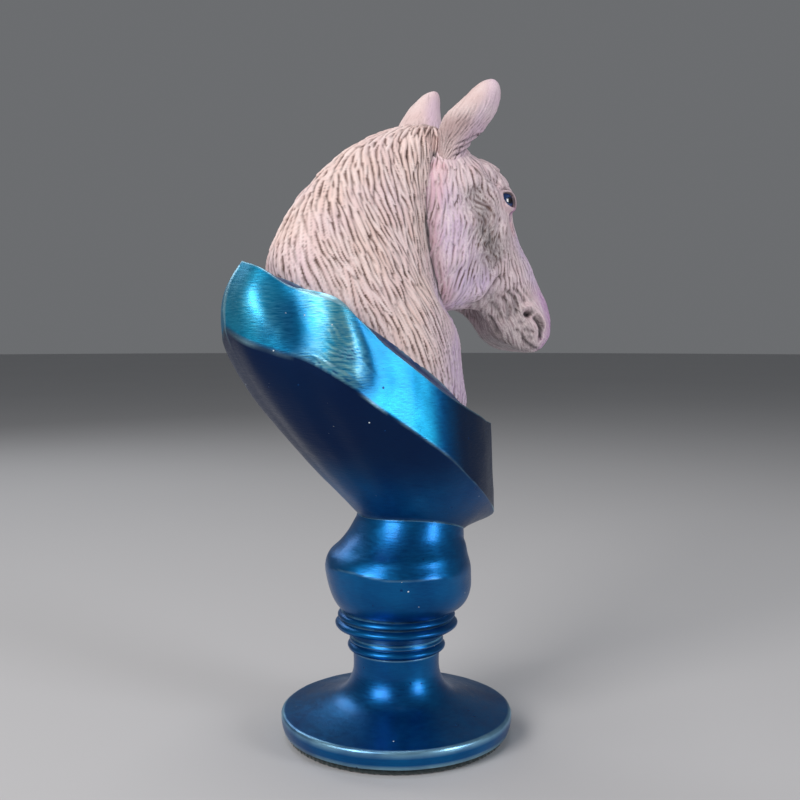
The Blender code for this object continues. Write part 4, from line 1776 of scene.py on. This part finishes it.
    def scale(self, start: np.ndarray, row: np.ndarray, column: np.ndarray) -> tuple[np.ndarray, ...]:
        """Make the head's locks long on the jowl, and let them fade on the muzzle and lids.

        Args:
            start: Places on the skin.
            row: The skin's rows there; not used.
            column: Its columns there; not used.

        Returns:
            How much longer, wider and higher than usual they are at each place.
        """
        along, out = self.measure(start)
        jowl = rise(-out, 14, 22) * (1 - rise(along, 40, 46))
        poll = 1 - rise(along, 12, 18)
        eye = np.exp(-((along - self.eye_middle[0]) ** 2 + (out - self.eye_middle[1]) ** 2) / 30)
        longer = 1 + 1.1 * jowl + 0.5 * poll
        wider = 1 + 0.25 * jowl + 0.7 * poll
        higher = (1 + 0.2 * jowl + 0.7 * poll) * (1 - 0.65 * rise(along, 46, 62)) * (1 - 0.9 * eye)
        brow = rise(out, 2, 5) * rise(along, 11, 16)
        return longer, wider, higher * (1 - 0.65 * brow)

    def lay_hair(self, skin: Skin, bare: np.ndarray) -> None:
        """Comb the short coat over the head.

        Args:
            skin: The head's skin.
            bare: How bare of hair each point is, from 0 to 1.
        """
        laid = self.hair.comb(skin, self.flow, self.scale).softened()
        keep = 1 - bare
        skin.push((laid.height - 0.28) * keep)
        along, out = self.measure(skin.points)
        softer = 1 - 0.45 * rise(along, 46, 62)
        cheek = np.exp(-(((along - 33) / 11) ** 2 + ((out + 10) / 7) ** 2))
        strength = (0.80 + 0.70 * cheek) * softer * (0.85 + 0.45 * mottle(skin.points, 3.0, 22))
        skin.marks["groove"] = np.clip(laid.slits(0.13) * strength, 0, 1) * keep
        skin.marks["tone"] = (0.35 + 0.65 * laid.tone) * rise(laid.core, 0.35, 0.95) * keep
        skin.marks["across"] = laid.across * keep

    def tint(self, skin: Skin) -> None:
        """Glaze the head by region, and darken the underside of the jaw as painted shade.

        Args:
            skin: The head's skin.
        """
        along, out = self.measure(skin.points)
        side = np.abs(skin.points[..., 0])
        jowl = rise(-out, 9, 20) * (1 - rise(along, 42, 52))
        ridge = rise(out, -3, 2) * rise(along, 30, 44)
        skin.marks["lilac"] = np.clip(0.35 + 0.45 * jowl + 0.4 * ridge, 0, 1)
        tip = rise(along, 52, 66) * rise(out, -3.0, 2.5)
        skin.marks["mauve"] = np.maximum(skin.marks["mauve"], 0.9 * tip)
        # Painted shade: the smoke glaze darkens faces that look down under the chin and lower jaw, and
        # the channel between the jaw's branches.
        under = rise(-(skin.normals() @ self.axes()[1]), 0.35, 0.9) * rise(along, 42, 52)
        muzzle = rise(along, 48, 58) * rise(-out, 6, 10)
        smoke = np.maximum(skin.marks["smoke"], np.maximum(0.9 * under, 0.62 * muzzle))
        channel = bell(side, 0, 5) * rise(-out, 16, 22) * 0.5
        skin.marks["smoke"] = np.maximum(smoke, channel)


@dataclass
class HorseNeck:
    """Neck from its plug in the shell to the poll, covered with sculpted hair."""

    head: HorseHead
    rows: int = 250
    steps: int = 392
    slices: tuple[Row, ...] = (
        (-37.5, 129.5, 19.5, 88.0, 21.0, -0.12),
        (-41.0, 142.5, 21.0, 99.5, 22.4, -0.12),
        (-37.6, 152.0, 20.3, 109.0, 21.0, -0.12),
        (-32.0, 160.4, 19.5, 117.5, 18.8, -0.10),
        (-25.4, 168.4, 18.0, 125.0, 17.0, -0.05),
        (-16.0, 176.4, 17.0, 132.0, 14.8, 0.0),
        (-6.0, 182.0, 16.5, 140.0, 13.0, 0.05),
        (3.1, 185.2, 16.5, 150.0, 11.8, 0.10),
        (10.0, 185.9, 16.5, 161.0, 10.6, 0.10),
        (15.0, 184.6, 16.8, 171.0, 8.0, 0.0),
        (17.4, 181.0, 17.4, 176.5, 3.5, 0.0),
    )
    throat_latch: float = 2.6
    hair: Coat = Coat(3600, 9.0, 0.86, 1.20, seed=7, uneven=0.38, sway=0.22)

    def slice(self, row: np.ndarray) -> np.ndarray:
        """One slice across the neck, its points spread evenly.

        Args:
            row: Crest forward and height, throat forward and height, half width, lean.

        Returns:
            The slice's points.
        """
        crest, throat = at(row[0], 0, row[1]), at(row[2], 0, row[3])
        turn = np.linspace(0, 2 * pi, 720, endpoint=False)
        share = np.cos(turn)
        spread = row[4] * np.sin(turn) * (1 + row[5] * share)
        middle, half = (crest + throat) / 2, (crest - throat) / 2
        return even_ring(middle + half * share[:, None] - spread[:, None] * (1, 0, 0), self.steps)

    def entry_ring(self) -> np.ndarray:
        """Outline of the neck just under the shell's rim."""
        return self.slice(read_curve(self.slices, np.array([0.72]))[0])

    def skin(self) -> Skin:
        """The neck's plain skin, close rings where it shows.

        Returns:
            The skin, without marks.
        """
        hidden_low = np.array([0.0, 0.35])
        shown = np.linspace(0.66, 8.7, self.rows - 6)
        hidden_high = np.array([9.0, 9.4, 9.75, 10.0])
        places = np.concatenate([hidden_low, shown, hidden_high])
        return Skin(np.array([self.slice(row) for row in read_curve(self.slices, places)]))

    def build(self, coat: bpy.types.Material) -> None:
        """Make and dress the neck.

        Args:
            coat: The horse's paint.
        """
        skin = self.skin()
        self.hollow_throat_latch(skin)
        muscles = 0.5 * mottle(skin.points, 16.0, 41) + 0.25 * mottle(skin.points, 7.0, 42)
        skin.push(muscles)
        near_head = self.near_head(skin.points)
        laid = self.hair.comb(skin, self.flow, self.scale).softened()
        skin.push(laid.height - 0.50)
        share = self.share_round(skin)
        throat = rise(share, 0.50, 0.85)
        strength = 1.05 + 0.45 * mottle(skin.points, 5.0, 44) - 0.20 * throat
        skin.marks["groove"] = np.clip(laid.slits(0.17) * strength, 0, 1)
        skin.marks["tone"] = (0.35 + 0.65 * laid.tone) * rise(laid.core, 0.35, 0.95)
        skin.marks["across"] = laid.across
        skin.marks["lilac"] = np.clip(0.05 + 0.85 * throat + 0.25 * mottle(skin.points, 9, 43), 0, 1)
        skin.marks["pink"] = 0.10 * np.ones(share.shape)
        skin.marks["smoke"] = 0.75 * near_head
        skin.marks["ink"] = 0.85 * near_head**3
        skin.marks["mauve"] = np.zeros(share.shape)
        neck = skin.make("painted_neck")
        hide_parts("neck_casting")
        dress(neck, coat)

    def round_from_crest(self, column: np.ndarray) -> np.ndarray:
        """Share of the way round from the crest to the throat for columns of the skin."""
        return 1 - np.abs(1 - 2 * column / self.steps)

    def share_round(self, skin: Skin) -> np.ndarray:
        """Measure how far round from the crest a skin's points lie.

        Args:
            skin: The neck's skin.

        Returns:
            One share for each point, 0 at the crest and 1 at the throat.
        """
        shape = skin.points.shape[:2]
        return np.broadcast_to(self.round_from_crest(np.arange(shape[1])), shape).copy()

    def head_gap(self, points: np.ndarray) -> np.ndarray:
        """Measure how far behind the jowl's line points lie.

        Args:
            points: The points.

        Returns:
            One distance for each point, below 0 on the head's side of the line.
        """
        places = np.stack(self.head.measure(points), axis=-1)
        line = curve_through(self.head.jowl_line, 60)
        away, _ = line_distance(places, line)
        depth = np.interp(places[..., 0], line[:, 0], line[:, 1])
        inside = (places[..., 1] > depth) & (places[..., 0] < 50)
        return np.where(inside, -away, away)

    def near_head(self, points: np.ndarray) -> np.ndarray:
        """1 in the groove behind the jowl, fading to 0 away from it."""
        below_ears = rise(self.round_from_crest(np.arange(self.steps)), 0.15, 0.35)
        return np.exp(-((self.head_gap(points) / 1.2) ** 2)) * below_ears

    def hollow_throat_latch(self, skin: Skin) -> None:
        """Sink the neck under the head's edge so that the jowl stands proud of it.

        Args:
            skin: The neck's skin.
        """
        gap = self.head_gap(skin.points)
        share = self.share_round(skin)
        depth = np.where(gap > 0, np.exp(-((gap / 4.2) ** 2)), 1.0)
        skin.push(-self.throat_latch * depth * rise(share, 0.12, 0.35))

    def flow(self, start: np.ndarray, row: np.ndarray, column: np.ndarray) -> np.ndarray:
        """Lay the neck's hair off the crest, forward down the sides and down the throat.

        Args:
            start: Places on the skin; not used.
            row: The skin's rows there.
            column: Its columns there.

        Returns:
            One direction for each place.
        """
        share = self.round_from_crest(column)
        right = np.where(column < self.steps / 2, 1.0, -1.0)
        places = np.interp(row, [0, self.rows - 1], [0.5, 9.0])
        table = read_curve(self.slices, places)
        level = np.zeros(len(table))
        across = np.stack([level, table[:, 0] - table[:, 2], table[:, 3] - table[:, 1]], axis=1)
        across /= np.linalg.norm(across, axis=1, keepdims=True)
        down = np.stack([level, -across[:, 2], across[:, 1]], axis=1)
        down *= -np.sign(down[:, 2:3])
        outward = np.stack([-right, level, level], axis=1)
        crest = 1 - rise(share, 0.0, 0.20)
        throat = rise(share, 0.55, 0.95)
        angle = np.radians(30 + 52 * crest + 50 * throat)[:, None]
        sideways = across + outward * (crest[:, None] * 1.2)
        return sideways * np.cos(angle) + down * np.sin(angle)

    def scale(self, start: np.ndarray, row: np.ndarray, column: np.ndarray) -> tuple[np.ndarray, ...]:
        """Make the neck's locks long and fine down the throat and above the rim.

        Args:
            start: Places on the skin; not used.
            row: The skin's rows there.
            column: Its columns there.

        Returns:
            How much longer, wider and higher than usual they are at each place.
        """
        share = self.round_from_crest(column)
        throat = rise(share, 0.45, 0.80)
        low = 1 - rise(row, 10, 55)
        longer = 1 + 0.6 * throat + 0.3 * low
        wider = 1 - 0.35 * throat
        higher = 1 - 0.35 * throat - 0.1 * low
        return longer, wider, higher


@dataclass
class Ears:
    """Two leaf-shaped ears, hollow towards the front.

    Each slice is level: its height, its middle forward and right, half its length, half its width
    and how far it is hollowed.
    """

    rows: int = 130
    outer_steps: int = 130
    inner_steps: int = 70
    turn_in: float = 5.0
    opening: float = 30.0
    wall: float = 0.8
    unevenness: float = 0.07
    slices: tuple[Row, ...] = (
        (172.5, 13.2, 8.8, 3.2, 3.0, 0.0),
        (176.5, 13.6, 9.6, 4.0, 3.5, 0.0),
        (180.2, 14.2, 10.6, 5.0, 4.0, 0.0),
        (183.5, 15.2, 12.2, 6.6, 4.9, 0.5),
        (187.5, 16.7, 14.1, 7.3, 5.4, 1.0),
        (191.0, 18.6, 15.7, 6.6, 4.8, 1.0),
        (194.5, 20.4, 16.6, 5.2, 3.8, 1.0),
        (197.5, 21.9, 16.6, 3.5, 2.6, 0.8),
        (199.2, 22.9, 16.3, 1.8, 1.4, 0.0),
        (199.8, 23.3, 16.1, 0.6, 0.5, 0.0),
    )
    level_base: float = 180.0
    pleats: tuple[float, ...] = (154.2, 155.6, 157.0)
    pleat_slope: float = 25.0

    def build(self, coat: bpy.types.Material) -> None:
        """Make and dress both ears.

        Args:
            coat: The horse's paint.
        """
        for node, side in (("right_ear", 1), ("left_ear", -1)):
            ear = self.ear(f"painted_{node}", side)
            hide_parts(node)
            dress(ear, coat)

    def slice(self, row: np.ndarray, side: int) -> np.ndarray:
        """One level slice: the ear's outer side, then the wall of its hollow.

        Args:
            row: The slice's numbers.
            side: 1 for the right ear and -1 for the left.

        Returns:
            The slice's points.
        """
        height, forward, right, half_length, half_width, hollow = row
        middle, opening = radians(-self.turn_in), radians(self.opening)
        height -= side * self.unevenness * max(height - self.level_base, 0)
        outer = np.linspace(middle + opening, 2 * pi + middle - opening, self.outer_steps)
        share = np.arange(1, self.inner_steps) / self.inner_steps
        front = middle - opening + 2 * opening * share
        back = middle - opening - (2 * pi - 2 * opening) * share
        wall = min(self.wall, 0.35 * half_width)
        hollow = float(np.clip(hollow, 0, 1))
        ahead = half_length * np.cos(front) * (1 - hollow)
        ahead += (half_length - wall) * np.cos(back) * hollow
        outward = half_width * np.sin(front) * (1 - hollow)
        outward += (half_width - wall) * np.sin(back) * hollow
        ahead = np.concatenate([half_length * np.cos(outer), ahead])
        outward = np.concatenate([half_width * np.sin(outer), outward])
        level = np.full(len(ahead), height)
        ring = np.stack([-side * (right + outward), -(forward + ahead), level], axis=1)
        return ring[::-1] if side > 0 else ring

    def ear(self, name: str, side: int) -> bpy.types.Object:
        """One ear.

        Args:
            name: The object's name.
            side: 1 for the right ear and -1 for the left.

        Returns:
            The ear.
        """
        table = curve_through(self.slices, self.rows)
        skin = Skin(np.array([self.slice(row, side) for row in table]))
        column = np.arange(skin.points.shape[1])
        from_outer = len(column) - 1 - column if side > 0 else column
        depth = rise(table[:, 5], 0.1, 0.8)[:, None]
        deep = rise(from_outer, self.outer_steps + 1, self.outer_steps + 8) * depth
        deep *= rise(len(column) - from_outer, 1, 8)
        height = skin.points[..., 2]
        ahead = -skin.points[..., 1] - table[:, 1][:, None]
        skin.push(0.22 * mottle(skin.points, 5.0, 51) + 0.10 * mottle(skin.points, 2.2, 54))
        slope = radians(self.pleat_slope)
        level = height * cos(slope) + skin.points[..., 1] * sin(slope)
        pleat = np.maximum.reduce([bell(level, place, 0.42) for place in self.pleats])
        pleat *= rise(ahead, -2.5, 0.5) * (1 - rise(height, 181.5, 184.0))
        skin.push(-0.7 * pleat)
        hair = Coat(locks=900, length=5.0, width=0.42, height=0.42, seed=61 + side, uneven=0.3)
        laid = hair.comb(skin, self.flow, self.scale)
        skin.push(laid.height * (1 - 0.5 * deep))
        low = 1 - rise(height, 183.0, 191.0)
        behind = rise(-ahead, -1.0, 4.0)
        slits = laid.slits(0.15) * (0.35 + 0.65 * low) * (0.8 + 0.4 * mottle(skin.points, 3.0, 55))
        skin.marks["ink"] = np.clip(0.85 * pleat + 0.35 * deep * low, 0, 1)
        skin.marks["groove"] = np.clip(slits + 0.35 * deep, 0, 1)
        skin.marks["pink"] = np.clip(0.10 + 0.45 * deep + 0.30 * low * behind, 0, 1)
        skin.marks["lilac"] = np.clip(0.55 - 0.45 * behind, 0, 1)
        skin.marks["smoke"] = np.clip(0.30 * deep + 0.30 * behind * low + 0.12 * behind, 0, 1)
        skin.marks["tone"] = 0.55 + 0.35 * mottle(skin.points, 4.0, 53)
        skin.marks["across"] = laid.across * low
        skin.marks["mauve"] = np.zeros(height.shape)
        return skin.make(name)

    def flow(self, start: np.ndarray, row: np.ndarray, column: np.ndarray) -> np.ndarray:
        """Lay an ear's hair from its root to its tip.

        Args:
            start: Places on the skin.
            row: The skin's rows there; not used.
            column: Its columns there; not used.

        Returns:
            One direction for each place.
        """
        side = np.sign(-start[:, 0])
        return np.stack([-0.25 * side, np.full(len(start), -0.35), np.ones(len(start))], axis=1)

    def scale(self, start: np.ndarray, row: np.ndarray, column: np.ndarray) -> tuple[np.ndarray, ...]:
        """Let an ear's locks fade towards its tip.

        Args:
            start: Places on the skin.
            row: The skin's rows there; not used.
            column: Its columns there; not used.

        Returns:
            How much longer, wider and higher than usual they are at each place.
        """
        fading = 1 - rise(start[:, 2], 182.0, 193.0)
        return np.ones(len(start)), np.ones(len(start)), 0.12 + 0.88 * fading


@dataclass
class Eyes:
    """Two glossy eyeballs."""

    pupil_size: float = 0.34
    iris_size: float = 0.72

    def build(self, gloss: bpy.types.Material, head: HorseHead) -> None:
        """Make and dress both eyes.

        Args:
            gloss: The eyes' material.
            head: The head that holds them.
        """
        for node, side in (("right_eye", 1), ("left_eye", -1)):
            centre = head.place(head.eye_middle[0], head.eye_middle[1], side * head.eye_side)
            outward = at(0.16, side, 0.06)
            outward /= np.linalg.norm(outward)
            eye = self.eyeball(f"glossy_{node}", centre, outward, head.eye_radius)
            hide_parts(node)
            dress(eye, gloss)

    def eyeball(
        self, name: str, centre: np.ndarray, outward: np.ndarray, radius: float
    ) -> bpy.types.Object:
        """Eyeball with a swollen front.

        Args:
            name: The object's name.
            centre: Its middle.
            outward: Where it looks.
            radius: Its radius.

        Returns:
            The eyeball, with its iris and pupil marked.
        """
        bpy.ops.object.select_all(action="DESELECT")
        bpy.ops.mesh.primitive_uv_sphere_add(segments=64, ring_count=40, radius=radius * MM)
        eye = bpy.context.active_object
        eye.name = name
        mesh = eye.data
        places = places_of(mesh) / MM
        front = (places @ outward) / radius
        places *= (1 + 0.05 * rise(front, 0.75, 0.95))[:, None]
        mesh.vertices.foreach_set("co", ((places + centre) * MM).ravel())
        angle = np.arccos(np.clip(front, -1, 1))
        flat = np.abs(places[:, 2]) / radius
        marks = {
            "iris": 1 - rise(angle, self.iris_size - 0.08, self.iris_size + 0.08),
            "pupil": 1 - rise(angle + 0.5 * flat, self.pupil_size - 0.05, self.pupil_size + 0.12),
        }
        for mark, values in marks.items():
            add_mark(mesh, mark, values)
        mesh.update()
        bpy.ops.object.shade_smooth()
        return eye


@dataclass
class Fixings:
    """Steel pieces inside, which stay as the frame has them."""

    nodes: tuple[str, ...] = (
        "ballast_ring",
        "base_nut",
        "base_washer",
        "tie_rod",
        "top_washer",
        "top_nut",
        "neck_dowel_rear",
        "neck_dowel_front",
        "head_dowel",
    )

    def build(self, steel: bpy.types.Material) -> None:
        """Give each piece its material.

        Args:
            steel: The material.
        """
        for node in self.nodes:
            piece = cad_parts[node]
            piece.data.materials.clear()
            piece.data.materials.append(steel)
            log.info("%s keeps its frame shape", node)


# ---------------------------------------------------------------- studio


@dataclass
class Studio:
    """Floor, lights, surroundings and camera."""

    camera_distance: float = 313.5
    camera_height: float = 123.5
    camera_turn: float = 240.0
    camera_pitch: float = 86.25
    camera_shift: float = 1.14
    lens: float = 46.3

    def build(self) -> None:
        """Set up everything round the piece."""
        self.camera()
        self.floor()
        self.light("key_softbox", (-0.26, 0.74, 0.50), (0.42, 0.42), 5.6, (1.0, 0.96, 0.93))
        self.light("side_softbox", (-0.80, -0.40, 0.30), (0.26, 0.36), 3.2, (0.95, 0.96, 1.0))
        self.light("top_softbox", (0.05, 0.05, 0.85), (0.40, 0.40), 1.8, (1.0, 0.98, 0.98))
        self.light("far_softbox", (0.75, 0.15, 0.60), (0.40, 0.40), 1.4, (0.95, 0.97, 1.0))
        world = bpy.data.worlds.new("pale_surroundings")
        bpy.context.scene.world = world
        world.use_nodes = True
        world.node_tree.nodes["Background"].inputs["Color"].default_value = (0.62, 0.64, 0.67, 1.0)
        world.node_tree.nodes["Background"].inputs["Strength"].default_value = 0.24
        bpy.context.scene.view_settings.view_transform = "Standard"

    def camera(self) -> None:
        """Camera behind the horse's right side, a little above its shell."""
        turn = radians(self.camera_turn)
        away = Vector((sin(turn), -cos(turn), 0)) * self.camera_distance
        aside = Vector((cos(turn), sin(turn), 0)) * self.camera_shift
        place = away + aside + Vector((0, 0, self.camera_height))
        data = bpy.data.cameras.new("studio_camera")
        data.lens = self.lens
        data.sensor_width = 36.0
        data.clip_start = 0.01
        camera = bpy.data.objects.new("studio_camera", data)
        camera.location = place * MM
        camera.rotation_euler = (radians(self.camera_pitch), 0, turn)
        bpy.context.collection.objects.link(camera)
        bpy.context.scene.camera = camera

    def floor(self) -> None:
        """Wide plain floor."""
        bpy.ops.object.select_all(action="DESELECT")
        low = (0, 0, -0.0002)
        bpy.ops.mesh.primitive_circle_add(vertices=96, radius=6.0, fill_type="NGON", location=low)
        floor = bpy.context.active_object
        floor.name = "studio_floor"
        floor.data.materials.append(StudioFloor().material())

    def light(self, name: str, place: Row, size: Row, power: float, colour: Colour) -> None:
        """Soft rectangular light aimed at the piece.

        Args:
            name: The light's name.
            place: Where it stands, in metres.
            size: Its width and height, in metres.
            power: Its power in watts.
            colour: Its colour.
        """
        data = bpy.data.lights.new(name, "AREA")
        data.shape = "RECTANGLE"
        data.size, data.size_y = size
        data.energy = power
        data.color = colour
        lamp = bpy.data.objects.new(name, data)
        lamp.location = place
        aim = Vector((0, 0, 0.11)) - Vector(place)
        lamp.rotation_euler = aim.to_track_quat("-Z", "Y").to_euler()
        bpy.context.collection.objects.link(lamp)


# ---------------------------------------------------------------- the whole piece


def main() -> None:
    """Build the knight over its frame, in order."""
    logging.basicConfig(level=logging.INFO, format="%(name)s: %(message)s")
    Studio().build()
    level_blue = BluePaint().material()
    slanted_blue = BluePaint("slant_brushed_blue_paint", 35.0, satin=0.28, brushing=0.08).material()
    coat = HorsePaint().material()
    head = HorseHead()
    neck = HorseNeck(head)
    Fixings().build(Steel().material())
    Pedestal().build(level_blue, Felt().material())
    BustShell().build(slanted_blue, neck.entry_ring())
    neck.build(coat)
    head.build(coat)
    Ears().build(coat)
    Eyes().build(EyeGloss().material(), head)
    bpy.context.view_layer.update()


if __name__ == "__main__":
    main()
